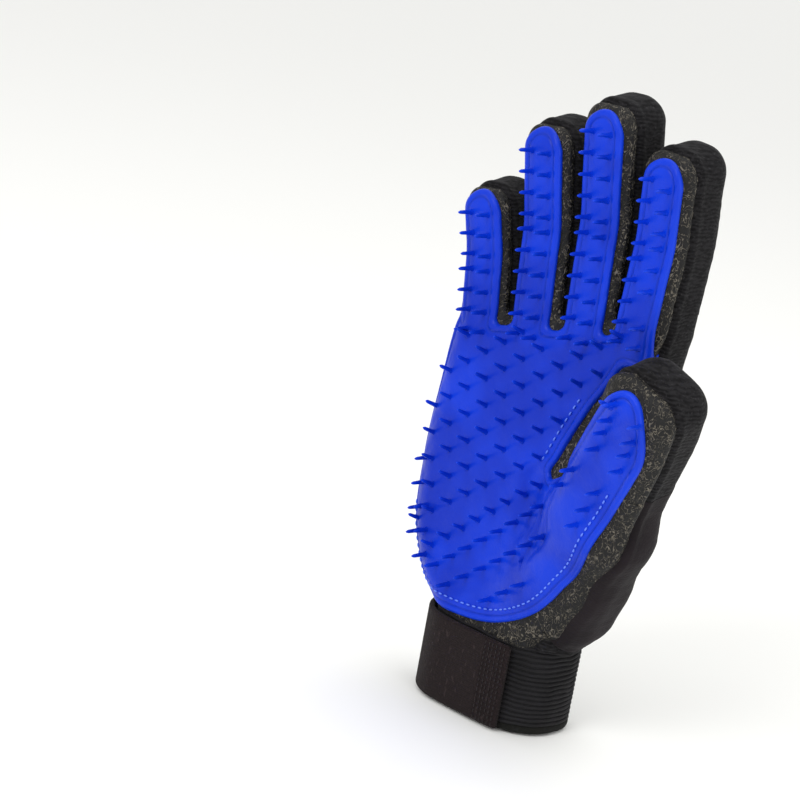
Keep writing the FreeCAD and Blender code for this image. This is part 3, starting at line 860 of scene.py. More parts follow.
@dataclass
class Workshop:
    """Turns skins into pieces, and keeps the Geometry Nodes trees."""

    pins: NodeTree = field(init=False)
    stitches: NodeTree = field(init=False)
    ribs: NodeTree = field(init=False)

    def __post_init__(self) -> None:
        """Makes the three trees."""
        self.pins, self.stitches, self.ribs = self.pin_tree(), self.stitch_tree(), self.rib_tree()

    def mesh(self, name: str, points: Array, faces: list | Array, finish: Finish,
             values: dict[str, Array] | None = None, crease: float | None = 50.0) -> Object:
        """Makes an object in metres, with its rest place as an attribute.

        Args:
            name: The piece's name.
            points: Places in millimetres.
            faces: Corners of each face.
            finish: The piece's finish.
            values: More numbers for each point.
            crease: Edges that bend by more than this many degrees stay sharp, or None.

        Returns:
            The object, linked to the scene.
        """
        data = bpy.data.meshes.new(name)
        data.from_pydata((points * MM).tolist(), [], faces if isinstance(faces, list) else faces.tolist())
        data.validate()
        for key, value in (values or {}).items():
            data.attributes.new(key, "FLOAT", "POINT").data.foreach_set("value", value.astype(np.float32))
        obj = bpy.data.objects.new(name, data)
        bpy.context.scene.collection.objects.link(obj)
        self.finish_piece(obj, finish)
        if crease is not None:
            data.set_sharp_from_angle(angle=math.radians(crease))
        return obj

    def finish_piece(self, obj: Object, finish: Finish) -> None:
        """Smooths a piece, stores its rest place and gives it its material."""
        data = obj.data
        data.materials.clear()
        data.materials.append(finish.build())
        data.shade_smooth()
        co = np.zeros(len(data.vertices) * 3, np.float32)
        data.vertices.foreach_get("co", co)
        rest = data.attributes.get("rest") or data.attributes.new("rest", "FLOAT_VECTOR", "POINT")
        rest.data.foreach_set("vector", co)

    def ride(self, obj: Object, way: "Way") -> None:
        """Rides a piece on its one body; a piece between two bodies only has its place baked into its points.
        """
        if way.second is None:
            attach(obj, way.first)
        else:
            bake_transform(obj)

    def panel(self, name: str, skin: Skin, wall: float, finish: Finish, way: "Way",
              along: Array, nodes: tuple[str, ...]) -> Object:
        """A cloth panel with a thickness.

        Args:
            name: The piece's name.
            skin: Its outer face.
            wall: Cloth thickness.
            finish: Its finish.
            way: How it moves.
            along: Direction of the panel's length; not used.
            nodes: The CAD nodes that it stands for.

        Returns:
            The finished piece.
        """
        shell = skin.shell(0.0, -wall)
        obj = self.mesh(name, shell.data["co"], shell.tris, finish)
        self.ride(obj, way)
        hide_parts(*nodes)
        area = float(shell.triangle_areas().sum()) / 2
        return obj

    def bake(self, name: str, host: Mesh, tree: NodeTree, **inputs: object) -> Mesh:
        """Runs a Geometry Nodes tree on a host mesh and returns the plain result.

        Args:
            name: The new mesh's name.
            host: The mesh that the tree starts from.
            tree: The tree.
            **inputs: Its named inputs, with spaces written as underscores.

        Returns:
            The baked mesh.
        """
        obj = bpy.data.objects.new(name + "_host", host)
        bpy.context.scene.collection.objects.link(obj)
        modifier = obj.modifiers.new("nodes", "NODES")
        modifier.node_group = tree
        names = {i.name: i.identifier for i in tree.interface.items_tree if i.item_type == "SOCKET"
                 and i.in_out == "INPUT"}
        for key, value in inputs.items():
            modifier[names[key.replace("_", " ")]] = value
        bpy.context.view_layer.update()
        graph = bpy.context.evaluated_depsgraph_get()
        baked = bpy.data.meshes.new_from_object(obj.evaluated_get(graph), preserve_all_data_layers=True,
                                                depsgraph=graph)
        baked.name = name
        obj.modifiers.remove(modifier)
        bpy.data.objects.remove(obj)
        return baked

    def trim(self, name: str, host: Mesh, tree: NodeTree, finish: Finish, body: str,
             **inputs: object) -> None:
        """Bakes stitches or ribs into a piece of their own, which rides on a body.

        Args:
            name: The piece's name.
            host: The mesh that the tree starts from.
            tree: The tree.
            finish: The piece's finish.
            body: The body.
            **inputs: The tree's named inputs.
        """
        mesh = self.bake(name, host, tree, Material=finish.build(), **inputs)
        obj = bpy.data.objects.new(name, mesh)
        bpy.context.scene.collection.objects.link(obj)
        self.finish_piece(obj, finish)
        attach(obj, body)
        LOG.info("trim %s: %d faces", name, len(mesh.polygons))

    def points_mesh(self, points: Array, directions: Array | None = None, lines: bool = False,
                    closed: bool = False) -> Mesh:
        """A mesh of loose points or of one line, in metres, to feed a tree."""
        data = bpy.data.meshes.new("host")
        edges = [(k, k + 1) for k in range(len(points) - 1)] if lines else []
        if closed:
            edges.append((len(points) - 1, 0))
        data.from_pydata((np.asarray(points) * MM).tolist(), edges, [])
        if directions is not None:
            made = data.attributes.new("direction", "FLOAT_VECTOR", "POINT")
            made.data.foreach_set("vector", np.asarray(directions, np.float32).ravel())
        return data

    def tree(self, name: str, **inputs: object) -> tuple[NodeTree, Node]:
        """Starts a Geometry Nodes tree with named inputs; numbers become float inputs."""
        tree = bpy.data.node_groups.new(name, "GeometryNodeTree")
        tree.interface.new_socket("Geometry", in_out="INPUT", socket_type="NodeSocketGeometry")
        tree.interface.new_socket("Geometry", in_out="OUTPUT", socket_type="NodeSocketGeometry")
        for key, value in inputs.items():
            kind = "Material" if value is None else "Int" if isinstance(value, int) else "Float"
            socket = tree.interface.new_socket(key.replace("_", " "), in_out="INPUT",
                                               socket_type=f"NodeSocket{kind}")
            if value is not None:
                socket.default_value = value
        return tree, add(tree, "NodeGroupInput")

    def close_tree(self, tree: NodeTree, source: Node, shape: NodeSocket) -> None:
        """Ends a tree with real geometry, smooth faces and its material."""
        real = add(tree, "GeometryNodeRealizeInstances", {0: shape})
        smooth = add(tree, "GeometryNodeSetShadeSmooth", {0: real.outputs[0]})
        dressed = add(tree, "GeometryNodeSetMaterial", {0: smooth.outputs[0],
                                                        "Material": source.outputs["Material"]})
        add(tree, "NodeGroupOutput", {0: dressed.outputs[0]})

    def pin_tree(self) -> NodeTree:
        """Moulded pins: one at each point, along its direction, flared at the foot and blunt at the tip."""
        tree, source = self.tree("moulded_pins", Length=0.006, Foot_Radius=0.00125, Unevenness=0.05,
                                 Material=None, Seed=7)
        line = add(tree, "GeometryNodeCurvePrimitiveLine", {"Start": (0, 0, 0)})
        up = add(tree, "ShaderNodeCombineXYZ", {2: source.outputs["Length"]})
        tree.links.new(up.outputs[0], line.inputs["End"])
        rings = add(tree, "GeometryNodeResampleCurve", {"Curve": line.outputs[0], "Count": 9})
        share = add(tree, "GeometryNodeSplineParameter").outputs["Factor"]
        shape = add(tree, "ShaderNodeFloatCurve", {"Value": share})
        curve = shape.mapping.curves[0]
        curve.points[0].location, curve.points[1].location = (0.0, 1.0), (1.0, 0.24)
        for x, y in ((0.125, 0.76), (0.25, 0.66), (0.85, 0.54), (0.95, 0.44)):
            curve.points.new(x, y)
        for point in curve.points:
            point.handle_type = "VECTOR"
        shape.mapping.update()
        radius = add(tree, "ShaderNodeMath", {0: shape.outputs[0], 1: source.outputs["Foot Radius"]},
                     operation="MULTIPLY")
        marked = add(tree, "GeometryNodeStoreNamedAttribute",
                     {"Geometry": rings.outputs[0], "Name": "tip", "Value": share},
                     data_type="FLOAT", domain="POINT")
        circle = add(tree, "GeometryNodeCurvePrimitiveCircle", {"Resolution": 7, "Radius": 1.0})
        pin = add(tree, "GeometryNodeCurveToMesh", {
            "Curve": marked.outputs[0], "Profile Curve": circle.outputs[0], "Scale": radius.outputs[0],
            "Fill Caps": True})
        way = add(tree, "GeometryNodeInputNamedAttribute", {"Name": "direction"}, data_type="FLOAT_VECTOR")
        aim = add(tree, "FunctionNodeAlignRotationToVector", {"Vector": way.outputs[0]}, axis="Z")
        low = add(tree, "ShaderNodeMath", {0: 1.0, 1: source.outputs["Unevenness"]}, operation="SUBTRACT")
        high = add(tree, "ShaderNodeMath", {0: 1.0, 1: source.outputs["Unevenness"]}, operation="ADD")
        size = add(tree, "FunctionNodeRandomValue", {2: low.outputs[0], 3: high.outputs[0],
                                                     "Seed": source.outputs["Seed"]}, data_type="FLOAT")
        placed = add(tree, "GeometryNodeInstanceOnPoints", {
            "Points": source.outputs["Geometry"], "Instance": pin.outputs[0], "Rotation": aim.outputs[0],
            "Scale": size.outputs[1]})
        self.close_tree(tree, source, placed.outputs[0])
        return tree

    def stitch_tree(self) -> NodeTree:
        """Lockstitch dashes spaced along a line of edges."""
        tree, source = self.tree("lockstitches", Pitch=0.0026, Length=0.0017, Radius=0.00034, Material=None)
        curve = add(tree, "GeometryNodeMeshToCurve", {0: source.outputs["Geometry"]})
        spaced = add(tree, "GeometryNodeResampleCurve", {"Curve": curve.outputs[0],
                                                         "Length": source.outputs["Pitch"]}, mode="LENGTH")
        ball = add(tree, "GeometryNodeMeshUVSphere", {"Segments": 6, "Rings": 4, "Radius": 1.0})
        half = add(tree, "ShaderNodeMath", {0: source.outputs["Length"], 1: 0.5}, operation="MULTIPLY")
        size = add(tree, "ShaderNodeCombineXYZ", {0: source.outputs["Radius"], 1: source.outputs["Radius"],
                                                  2: half.outputs[0]})
        dash = add(tree, "GeometryNodeTransform", {"Geometry": ball.outputs[0], "Scale": size.outputs[0]})
        tangent = add(tree, "GeometryNodeInputTangent")
        aim = add(tree, "FunctionNodeAlignRotationToVector", {"Vector": tangent.outputs[0]}, axis="Z")
        placed = add(tree, "GeometryNodeInstanceOnPoints", {
            "Points": spaced.outputs[0], "Instance": dash.outputs[0], "Rotation": aim.outputs[0]})
        self.close_tree(tree, source, placed.outputs[0])
        return tree

    def rib_tree(self) -> NodeTree:
        """Elastic ribs: copies of one closed line, stacked upwards and made wavy."""
        tree, source = self.tree("elastic_ribs", Count=16, Pitch=0.0018, Radius=0.0007, Wave=0.0016,
                                 Wave_Scale=110.0, Material=None)
        curve = add(tree, "GeometryNodeMeshToCurve", {0: source.outputs["Geometry"]})
        step = add(tree, "ShaderNodeCombineXYZ", {2: source.outputs["Pitch"]})
        stack = add(tree, "GeometryNodeMeshLine", {
            "Count": source.outputs["Count"], "Offset": step.outputs[0]})
        placed = add(tree, "GeometryNodeInstanceOnPoints", {
            "Points": stack.outputs[0], "Instance": curve.outputs[0]})
        real = add(tree, "GeometryNodeRealizeInstances", {0: placed.outputs[0]})
        noise = add(tree, "ShaderNodeTexNoise", {"Scale": source.outputs["Wave Scale"], "Detail": 1.0})
        centred = add(tree, "ShaderNodeMath", {0: noise.outputs[0], 1: 0.5}, operation="SUBTRACT")
        rise = add(tree, "ShaderNodeMath", {0: centred.outputs[0], 1: source.outputs["Wave"]},
                   operation="MULTIPLY")
        shift = add(tree, "ShaderNodeCombineXYZ", {2: rise.outputs[0]})
        wavy = add(tree, "GeometryNodeSetPosition", {"Geometry": real.outputs[0], "Offset": shift.outputs[0]})
        circle = add(tree, "GeometryNodeCurvePrimitiveCircle", {"Resolution": 6, "Radius": 1.0})
        rib = add(tree, "GeometryNodeCurveToMesh", {
            "Curve": wavy.outputs[0], "Profile Curve": circle.outputs[0], "Scale": source.outputs["Radius"]})
        self.close_tree(tree, source, rib.outputs[0])
        return tree


@dataclass
class Way:
    """How a piece moves: with one body, or lying between two.

    Attributes:
        first: The body it rides on.
        second: The second body, if any.
        start: Where the stretch between the two bodies starts; not used.
        end: Where it ends; not used.
    """

    first: str
    second: str | None = None
    start: Array | None = None
    end: Array | None = None


PALM = Way("palm")


@dataclass
class Moulding:
    """The silicone sheet: how thick it is from its edge inwards, and its pins."""

    shop: Workshop
    profile: tuple[tuple[float, float], ...] = (
        (0.0, 0.4), (-0.2, 1.0), (-0.5, 1.35), (-0.95, 1.55), (-1.7, 1.6), (-2.1, 1.3), (-2.4, 1.1),
        (-2.8, 1.3), (-4.5, 1.5))
    cuts: tuple[float, ...] = (-0.2, -0.5, -0.95, -1.7, -2.1, -2.4, -2.8)
    under: float = 0.35  # sunk into the cloth
    pin_length: float = 6.8
    pin_foot: float = 1.2

    def thickness(self, rim: Array) -> Array:
        """Height of the sheet above the cloth, by distance inside its edge."""
        at, height = np.array(self.profile[::-1]).T
        return np.interp(rim, at, height)

    def skin(self, cloth: Skin, digits: tuple[DigitForm, ...]) -> Skin:
        """Cuts the pad from the cloth's surface, with extra edge lines that carry its profile."""
        co, normal = cloth.data["co"], cloth.data["normal"]
        rim = OUTLINE.distance(co, normal, digits)
        cut = Skin(cloth.tris, {**cloth.data, "rim": rim}).half(-rim)
        for level in self.cuts:
            cut = cut.split(cut.data["rim"] - level, near=0.04)
        return cut.largest()

    def relief(self, skin: Skin) -> Array:
        """Swells between the rows of pins on the palm."""
        co, rim = skin.data["co"], skin.data["rim"]
        row = np.array([-math.sin(math.radians(37.5)), 0, math.cos(math.radians(37.5))])
        wave = np.cos((co - np.array([13.9, 0, 87.1])) @ row * 2 * math.pi / 8.3)
        calm = 1 - ease(1, 8, (co - KNUCKLE) @ UP + 8)
        return 0.22 * wave * ease(-4.5, -7.5, rim) * calm * (1 - FORM.on_thumb(co))

    def pad(self, name: str, skin: Skin, way: Way, feet: Array, ways: Array, nodes: tuple[str, ...]) -> None:
        """Builds one body's share of the sheet, with its pins moulded on.

        Args:
            name: The piece's name.
            skin: The cloth under it, cut to the pad.
            way: How it moves.
            feet: Where its pins stand, on the cloth.
            ways: Their directions.
            nodes: The CAD nodes that it stands for.
        """
        rim = skin.data["rim"]
        shell = skin.shell(self.thickness(rim) + self.relief(skin), -self.under)
        values = {"rim": shell.data["rim"], "tip": np.zeros(len(shell.data["co"]))}
        if len(feet):
            host = self.shop.points_mesh(feet, ways)
            pins = self.shop.bake(name + "_pins", host, self.shop.pins, Length=self.pin_length * MM,
                                  Foot_Radius=self.pin_foot * MM, Material=SILICONE.build())
            co = np.zeros(len(pins.vertices) * 3, np.float32)
            pins.vertices.foreach_get("co", co)
            tip = np.zeros(len(pins.vertices), np.float32)
            pins.attributes["tip"].data.foreach_get("value", tip)
            first = len(shell.data["co"])
            points = np.concatenate([shell.data["co"], co.reshape(-1, 3) / MM])
            faces = shell.tris.tolist() + [[v + first for v in f.vertices] for f in pins.polygons]
            values = {"rim": np.concatenate([values["rim"], np.full(len(tip), -9.0)]),
                      "tip": np.concatenate([values["tip"], tip])}
        else:
            points, faces = shell.data["co"], shell.tris
        obj = self.shop.mesh(name, points, faces, SILICONE, values)
        self.shop.ride(obj, way)
        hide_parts(*nodes)
        LOG.info("pad %s: %d faces, %d pins", name, len(faces), len(feet))


# ---------------------------------------------------------------- sub-assemblies


def drape(skin: Skin, seam: Array, rim: Array, seed: int) -> Skin:
    """Gives cloth its seam groove and its wrinkles, and keeps it flat under the silicone.

    Args:
        skin: The smooth surface.
        seam: Distance from the side seam at each point.
        rim: Distance from the silicone's edge.
        seed: Chooses the wrinkles.

    Returns:
        The skin with its points moved.
    """
    co, normal = skin.data["co"], skin.data["normal"]
    free = 0.15 + 0.85 * ease(0.0, 3.0, rim)
    groove = -1.1 * np.exp(-(seam / 0.9) ** 2) + 0.35 * np.exp(-((np.abs(seam) - 2.3) / 1.1) ** 2)
    folds = 0.12 * ripples(co, 19, seed) + 0.05 * ripples(co * np.array([1, 1, 2.2]), 8, seed + 1)
    return Skin(skin.tris, {**skin.data, "co": co + normal * (groove + folds * free)[:, None]})


@dataclass
class Digit:
    """A finger or the thumb beyond its knuckle: base and tip, each of net, knit and silicone."""

    shop: Workshop
    moulding: Moulding
    form: DigitForm
    seed: int

    def build(self) -> None:
        """Builds the six pieces."""
        form, name = self.form, self.form.name
        cut_normal = form.a0 if form.thumb else UP
        cut_point = form.c0 + form.a0 * 1.0 if form.thumb else KNUCKLE + UP * CLOTH_CUT
        shape = FORM.thumb if form.thumb else (lambda p: FORM.with_finger(p, form))
        ends = np.stack([form.c0 - form.a0 * 2, form.c1, form.place(0, 0, form.end)])
        reach = form.half_depth + 5
        skin = surface_net(shape, ends.min(0) - reach, ends.max(0) + reach * 0.8)
        skin = skin.half((skin.data["co"] - cut_point) @ cut_normal)
        if not form.thumb:
            u, _, _ = form.coords(skin.data["co"])
            skin = skin.only((np.abs(u) < form.half_width + 4)[skin.tris].all(1))
        skin = skin.largest()
        for level in SEAM_EDGES:
            skin = skin.split(form.coords(skin.data["co"])[1] - form.seam_depth - level)
        _, v, w = form.coords(skin.data["co"])
        seam = v - form.seam_depth
        digits = () if form.thumb else (form,)
        rim = OUTLINE.distance(skin.data["co"], skin.data["normal"], digits)
        skin = Skin(skin.tris, {**skin.data, "seam": seam, "beyond": w - (form.length - MID_CUT)})
        draped = drape(skin, seam, rim, self.seed)
        base = draped.half(draped.data["beyond"], positive=False)
        tip = draped.half(draped.data["beyond"])
        start, mid = cut_point, form.place(0, 0, form.length - MID_CUT)
        bend = LITTLE_BEND if form.name == "little" else BEND_LENGTH
        ways = {
            "base": Way("palm", f"{name}_base", start, start + cut_normal * bend),
            "tip": Way(f"{name}_base", f"{name}_tip", mid, mid + form.a0 * 2 * MID_CUT),
        }
        for part, piece in (("base", base), ("tip", tip)):
            along = form.a0 if part == "base" else form.a1
            for kind, finish in ((Part.NET, MESH), (Part.KNIT, KNIT)):
                panel = piece.half(piece.data["seam"], positive=kind is Part.NET).largest()
                self.shop.panel(f"{name}_{part}_{'net' if kind is Part.NET else 'knit'}", panel, CLOTH_WALL,
                                finish, ways[part], along, (f"{name}_{part}_{kind.value}",))
            pad = self.moulding.skin(piece, digits)
            feet, aims = self.pins(part)
            self.moulding.pad(f"{name}_{part}_silicone", pad, ways[part], feet, aims,
                              (f"{name}_{part}_{Part.PAD.value}",))

    def pins(self, part: str) -> tuple[Array, Array]:
        """Where the pins of the base or tip stand, and their directions."""
        form = self.form
        feet = []
        for side, last in zip((-1, 1), form.pin_starts):
            w = form.end - last
            while w > FIRST_PIN:
                if (w > form.length - MID_CUT) == (part == "tip"):
                    feet.append(form.place(side * form.pin_side, form.half_depth + 1.1, w))
                w -= form.pin_pitch
        aims = np.tile(np.array([0.0, -1.0, 0.0]), (len(feet), 1))
        return np.array(feet), aims


@dataclass
class PinRow:
    """A straight row of pins on the palm, from first to last, as (x, z).

    Attributes:
        count: How many pins.
        first, last: The row's ends.
        leaning: True where the pins lean upwards as the lattice's do.
    """

    count: int
    first: tuple[float, float]
    last: tuple[float, float]
    leaning: bool = False

    def places(self) -> Array:
        """Returns the evenly spaced places."""
        t = np.linspace(0, 1, self.count)[:, None]
        return np.array(self.first) * (1 - t) + np.array(self.last) * t


@dataclass
class Palm:
    """Palm, back and ball of the thumb, with the large silicone sheet."""

    shop: Workshop
    moulding: Moulding
    seam_y: float = -8.0
    heel_rise: float = -5.5  # the seam runs nearer to the silicone at the heel
    ball_rise: float = 4.5  # and on the ball of the thumb
    lattice_step: tuple[float, float] = (-7.2, -5.5)
    lattice_rise: tuple[float, float] = (-2.1, 8.9)
    lattice_start: tuple[float, float] = (13.9, 87.1)
    lean: float = 20.0
    rows: tuple[PinRow, ...] = (
        PinRow(8, (13.9, 87.1), (-28.5, 51.3), leaning=True), PinRow(8, (19.0, 82.2), (-24.1, 45.9)),
        PinRow(7, (24.0, 73.3), (-16.9, 41.1)), PinRow(3, (18.6, 54.4), (2.6, 42.6)),
        PinRow(4, (-39.4, 80.0), (-37.6, 53.5)), PinRow(3, (-34.5, 64.0), (-31.0, 47.0)))
    thumb_pins: tuple[tuple[float, float], ...] = (
        (61.3, 118.3), (57.4, 111.9), (54.0, 105.3), (50.1, 98.4), (46.2, 91.4), (43.0, 85.0),
        (55.7, 127.3), (51.1, 121.2), (47.1, 115.3), (43.2, 109.2), (38.8, 102.6), (33.5, 95.5))
    pin_margin: float = 2.8  # no pin nearer than this to the sheet's edge
    stitch_inset: float = 4.4  # from the sheet's edge to its stitches

    def seam(self, p: Array) -> Array:
        """Distance in front of the side seam, which closes in on the silicone at the heel."""
        h = FORM.on_thumb(p)
        _, v, w = THUMB.coords(p)
        heel = ease(-5, 12, p[:, 0]) * (1 - ease(88, 104, p[:, 2]))
        ball = 1 - ease(-30, -6, w)
        on_palm = self.seam_y + self.heel_rise * heel - p[:, 1]
        on_thumb = v - THUMB.seam_depth - self.ball_rise * ball
        return (1 - h) * on_palm + h * on_thumb

    def rim(self, skin: Skin) -> Array:
        """Distance from the silicone's edge at a skin's points."""
        return OUTLINE.distance(skin.data["co"], skin.data["normal"], FINGERS)

    def build(self) -> None:
        """Builds the cloth panels, the silicone sheet and its stitching."""
        skin = surface_net(FORM.root, np.array([-50.0, -46.0, 27.0]), np.array([76.0, 22.0, 164.0]))
        co = skin.data["co"]
        skin = skin.half((KNUCKLE + UP * CLOTH_CUT - co) @ UP)
        skin = skin.half(skin.data["co"][:, 2] - WRIST_CUT)
        co = skin.data["co"]
        stub = np.where(FORM.palm(co) > FORM.thumb(co) - 0.3, THUMB.coords(co)[2] - 1.0, -5.0)
        skin = skin.half(stub, positive=False).largest()
        for level in sorted((*SEAM_EDGES, 0.0)):
            skin = skin.split(self.seam(skin.data["co"]) - level)
        co, rim = skin.data["co"], self.rim(skin)
        seam = self.seam(co)
        seam[np.abs(seam) < 0.06] = 0.0
        owner = np.where(self.thumb_share(co) > 0, 1.0, -1.0) * np.minimum(np.abs(self.thumb_share(co)), 9)
        gusset_line = np.where(seam < 2, owner, 9.0)
        groove = np.where(np.abs(seam) < np.abs(gusset_line), seam, gusset_line)
        draped = drape(Skin(skin.tris, {**skin.data, "seam": seam, "owner": owner}), groove, rim, 3)
        net = draped.half(draped.data["seam"]).largest()
        behind = draped.half(draped.data["seam"], positive=False)
        gusset = behind.half(behind.data["owner"]).largest()
        back = behind.half(behind.data["owner"], positive=False).largest()
        z = np.array([0.0, 0.0, 1.0])
        self.shop.panel("palm_net", net, CLOTH_WALL, MESH, PALM, z, ("palm_mesh_panel",))
        self.shop.panel("thumb_gusset_cloth", gusset, CLOTH_WALL, JERSEY, PALM, THUMB.a0, ("thumb_gusset",))
        self.shop.panel("back_knit_panel", back, CLOTH_WALL, KNIT, PALM, z, ("back_panel",))
        pad = self.moulding.skin(draped, FINGERS)
        feet, aims = self.pins()
        self.moulding.pad("palm_silicone", pad, PALM, feet, aims, ("palm_pad", "thumb_root_pad"))
        self.stitching()

    def thumb_share(self, p: Array) -> Array:
        """Positive where the cloth is the thumb's."""
        return FORM.palm(p) - FORM.thumb(p)

    def pins(self) -> tuple[Array, Array]:
        """Where the palm's pins stand, and their directions."""
        up = np.array([0.0, -math.cos(math.radians(self.lean)), math.sin(math.radians(self.lean))])
        level = np.array([0.0, -1.0, 0.0])
        places, aims = [], []
        start, step, rise = (np.array(v) for v in (self.lattice_start, self.lattice_step, self.lattice_rise))
        for row in range(1, 10):
            for column in range(-8, 9):
                x, z = start + step * column + rise * row
                if (np.array([x, 0, z]) - KNUCKLE) @ UP < -5.0:
                    places.append((x, z))
                    aims.append(up)
        for row in self.rows:
            for x, z in row.places():
                places.append((x, z))
                aims.append(up if row.leaning else level)
        knuckle_w = (-7.0, -0.2)
        for digit in FINGERS:
            for w in knuckle_w:
                for side in (-1, 1):
                    p = digit.place(side * digit.pin_side, 12, w)
                    places.append((p[0], p[2]))
                    aims.append(level)
        for x, z in self.thumb_pins:
            p = FORM.front_point(x, z)
            if THUMB.coords(p)[2] < 0.0:
                places.append((x, z))
                aims.append(level)
        feet = np.array([FORM.front_point(x, z) for x, z in places])
        rim = OUTLINE.distance(feet, slope(FORM.whole, feet), FINGERS)
        keep = rim < -self.pin_margin
        return feet[keep] + np.array([0, -1.2, 0]), np.array(aims)[keep]

    def stitching(self) -> None:
        """Blue lockstitch round the heel and up the slit, just inside the groove."""
        line = OUTLINE.inset(self.stitch_inset)
        n = OUTLINE.steps
        runs = {"heel": line[-3 * n:], "ball": line[:11 * n], "slit": line[24 * n + 3:31 * n]}
        points = {"heel_stitching": np.concatenate([runs["heel"], runs["ball"]]),
                  "slit_stitching": runs["slit"]}
        for name, run in points.items():
            on = np.array([FORM.front_point(x, z) for x, z in run])
            out = slope(FORM.whole, on)
            keep = THUMB.coords(on)[2] < 0.5
            on = (on + out * 1.95)[keep]
            host = self.shop.points_mesh(on, lines=True)
            self.shop.trim(name, host, self.shop.stitches, BLUE_THREAD, "palm")


@dataclass
class Wrist:
    """Elastic cuff with its hem, and the closing strap."""

    shop: Workshop
    half_x: float = 27.0
    half_y: float = 17.0
    centre_y: float = 0.8
    corner: float = 15.5
    top: float = 33.0
    strap_gap: float = 1.6  # from the elastic to the strap's inner face
    strap_wall: float = 2.1
    strap_low: float = 0.6
    strap_high: float = 31.0
    fold_x: float = -22.0
    end_x: float = 17.0

    def loop(self, count: int, grow: float = 0.0) -> tuple[Array, Array]:
        """Points and outward directions round the wrist, starting at the back.

        Args:
            count: How many points.
            grow: How far outside the elastic.

        Returns:
            Points and directions, in the plane of z.
        """
        corner = self.corner
        straight_x, straight_y = self.half_x - corner, self.half_y - corner
        a = np.linspace(0, 2 * math.pi, 2000, endpoint=False)
        out = np.stack([np.sin(a), np.cos(a)], 1)
        sharp = np.tanh(out * 12)
        at = np.stack([sharp[:, 0] * straight_x, sharp[:, 1] * straight_y], 1) + out * (corner + grow)
        run = np.concatenate([[0], np.cumsum(np.linalg.norm(np.diff(at, axis=0, append=at[:1]), axis=1))])
        want = np.arange(count) / count * run[-1]
        k = np.clip(np.searchsorted(run, want, side="right") - 1, 0, len(at) - 1)
        at = at[k] + np.array([0, self.centre_y])
        zero = np.zeros(count)
        return np.stack([at[:, 0], at[:, 1], zero], 1), np.stack([out[k, 0], out[k, 1], zero], 1)

    def band(self, name: str, low: float, high: float, inner: float, outer: float, finish: Finish,
             node: str, rows: int = 12) -> Object:
        """A closed band round the wrist with rounded edges.

        Args:
            name: The piece's name.
            low, high: Its edges' heights.
            inner, outer: Its faces' distances outside the elastic.
            finish: Its finish.
            node: The CAD node that it stands for.
            rows: How many rings of points it has from edge to edge.

        Returns:
            The finished piece.
        """
        at, out = self.loop(160)
        t = np.linspace(0, 1, rows)
        wall = outer - inner
        from_round = np.clip(1 - np.minimum(t, 1 - t) * (high - low) / (wall / 2), 0, 1)
        edge = np.sqrt(1 - from_round**2)
        mid, half = (inner + outer) / 2, wall / 2 * edge
        outline = [(mid + h, low + (high - low) * s) for h, s in zip(half, t)]
        outline += [(mid - h, low + (high - low) * s) for h, s in zip(half[::-1][1:-1], t[::-1][1:-1])]
        count, ring = len(at), len(outline)
        rest = np.stack([at + out * g + np.array([0, 0, z]) for g, z in outline], 1)
        sway = 0.35 * ripples(rest, 26, 5)
        rest[..., 2] += sway * np.clip(rest[..., 2] / 6, 0, 1)
        points = rest.reshape(-1, 3)
        i, j = np.meshgrid(np.arange(count), np.arange(ring), indexing="ij")
        a, b = i * ring + j, ((i + 1) % count) * ring + j
        c, d = ((i + 1) % count) * ring + (j + 1) % ring, i * ring + (j + 1) % ring
        faces = np.stack([a, d, c, b], -1).reshape(-1, 4)
        obj = self.shop.mesh(name, points, faces, finish, crease=None)
        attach(obj, "palm")
        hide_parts(node)
        return obj

    def build(self) -> None:
        """Builds the elastic, its ribs and hem, and the strap's two parts."""
        low = 1.4
        elastic = self.band("wrist_elastic_band", low, self.top, -1.6, 0.0, ELASTIC, "wrist_elastic")
        at, out = self.loop(180)
        host = self.shop.points_mesh(at + out * 0.1 + np.array([0, 0, 3.4]), lines=True, closed=True)
        self.shop.trim("elastic_ribs", host, self.shop.ribs, ELASTIC, "palm", Count=17, Pitch=0.00172,
                       Radius=0.00062, Wave=0.0022)
        self.band("hem_binding", 0.0, 3.2, -2.0, 0.7, BINDING, "cuff_hem", rows=8)
        self.strap("strap_sewn_part", None, self.fold_x, "palm", "strap_sewn_end")
        self.strap("strap_loose_tab", self.fold_x, self.end_x, "strap_tab", "strap_tab")
        for node, finish in (("loop_patch", LOOP_TAPE), ("hook_patch", HOOK_TAPE)):
            self.dress_patch(node, finish)

    def dress_patch(self, node: str, finish: Finish) -> None:
        """Gives a fastening patch its material; its CAD shape is right."""
        obj = frame["nodes"][node]
        material = finish.build().copy()
        material.name = finish.title + "_patch"
        for n in material.node_tree.nodes:
            if n.type == "ATTRIBUTE" and n.attribute_name == "rest":
                place = add(material.node_tree, "ShaderNodeTexCoord")
                for link in list(n.outputs["Vector"].links):
                    material.node_tree.links.new(place.outputs["Object"], link.to_socket)
        obj.data.materials.clear()
        obj.data.materials.append(material)

    def strap_run(self, start_x: float | None, end_x: float) -> tuple[Array, Array]:
        """Points and directions of the strap's middle line, from the left side round the front."""
        at, out = self.loop(1200, self.strap_gap + self.strap_wall / 2)
        order = np.argsort(np.arctan2(at[:, 0], -(at[:, 1] - self.centre_y)))
        at, out = at[order], out[order]
        keep = (at[:, 0] < end_x) & (at[:, 1] < (4.0 if start_x is None else 0.0))
        if start_x is not None:
            keep &= at[:, 0] > start_x
        at, out = at[keep], out[keep]
        pick = np.linspace(0, len(at) - 1, max(12, int(len(at) / 5))).astype(int)
        return at[pick], out[pick]

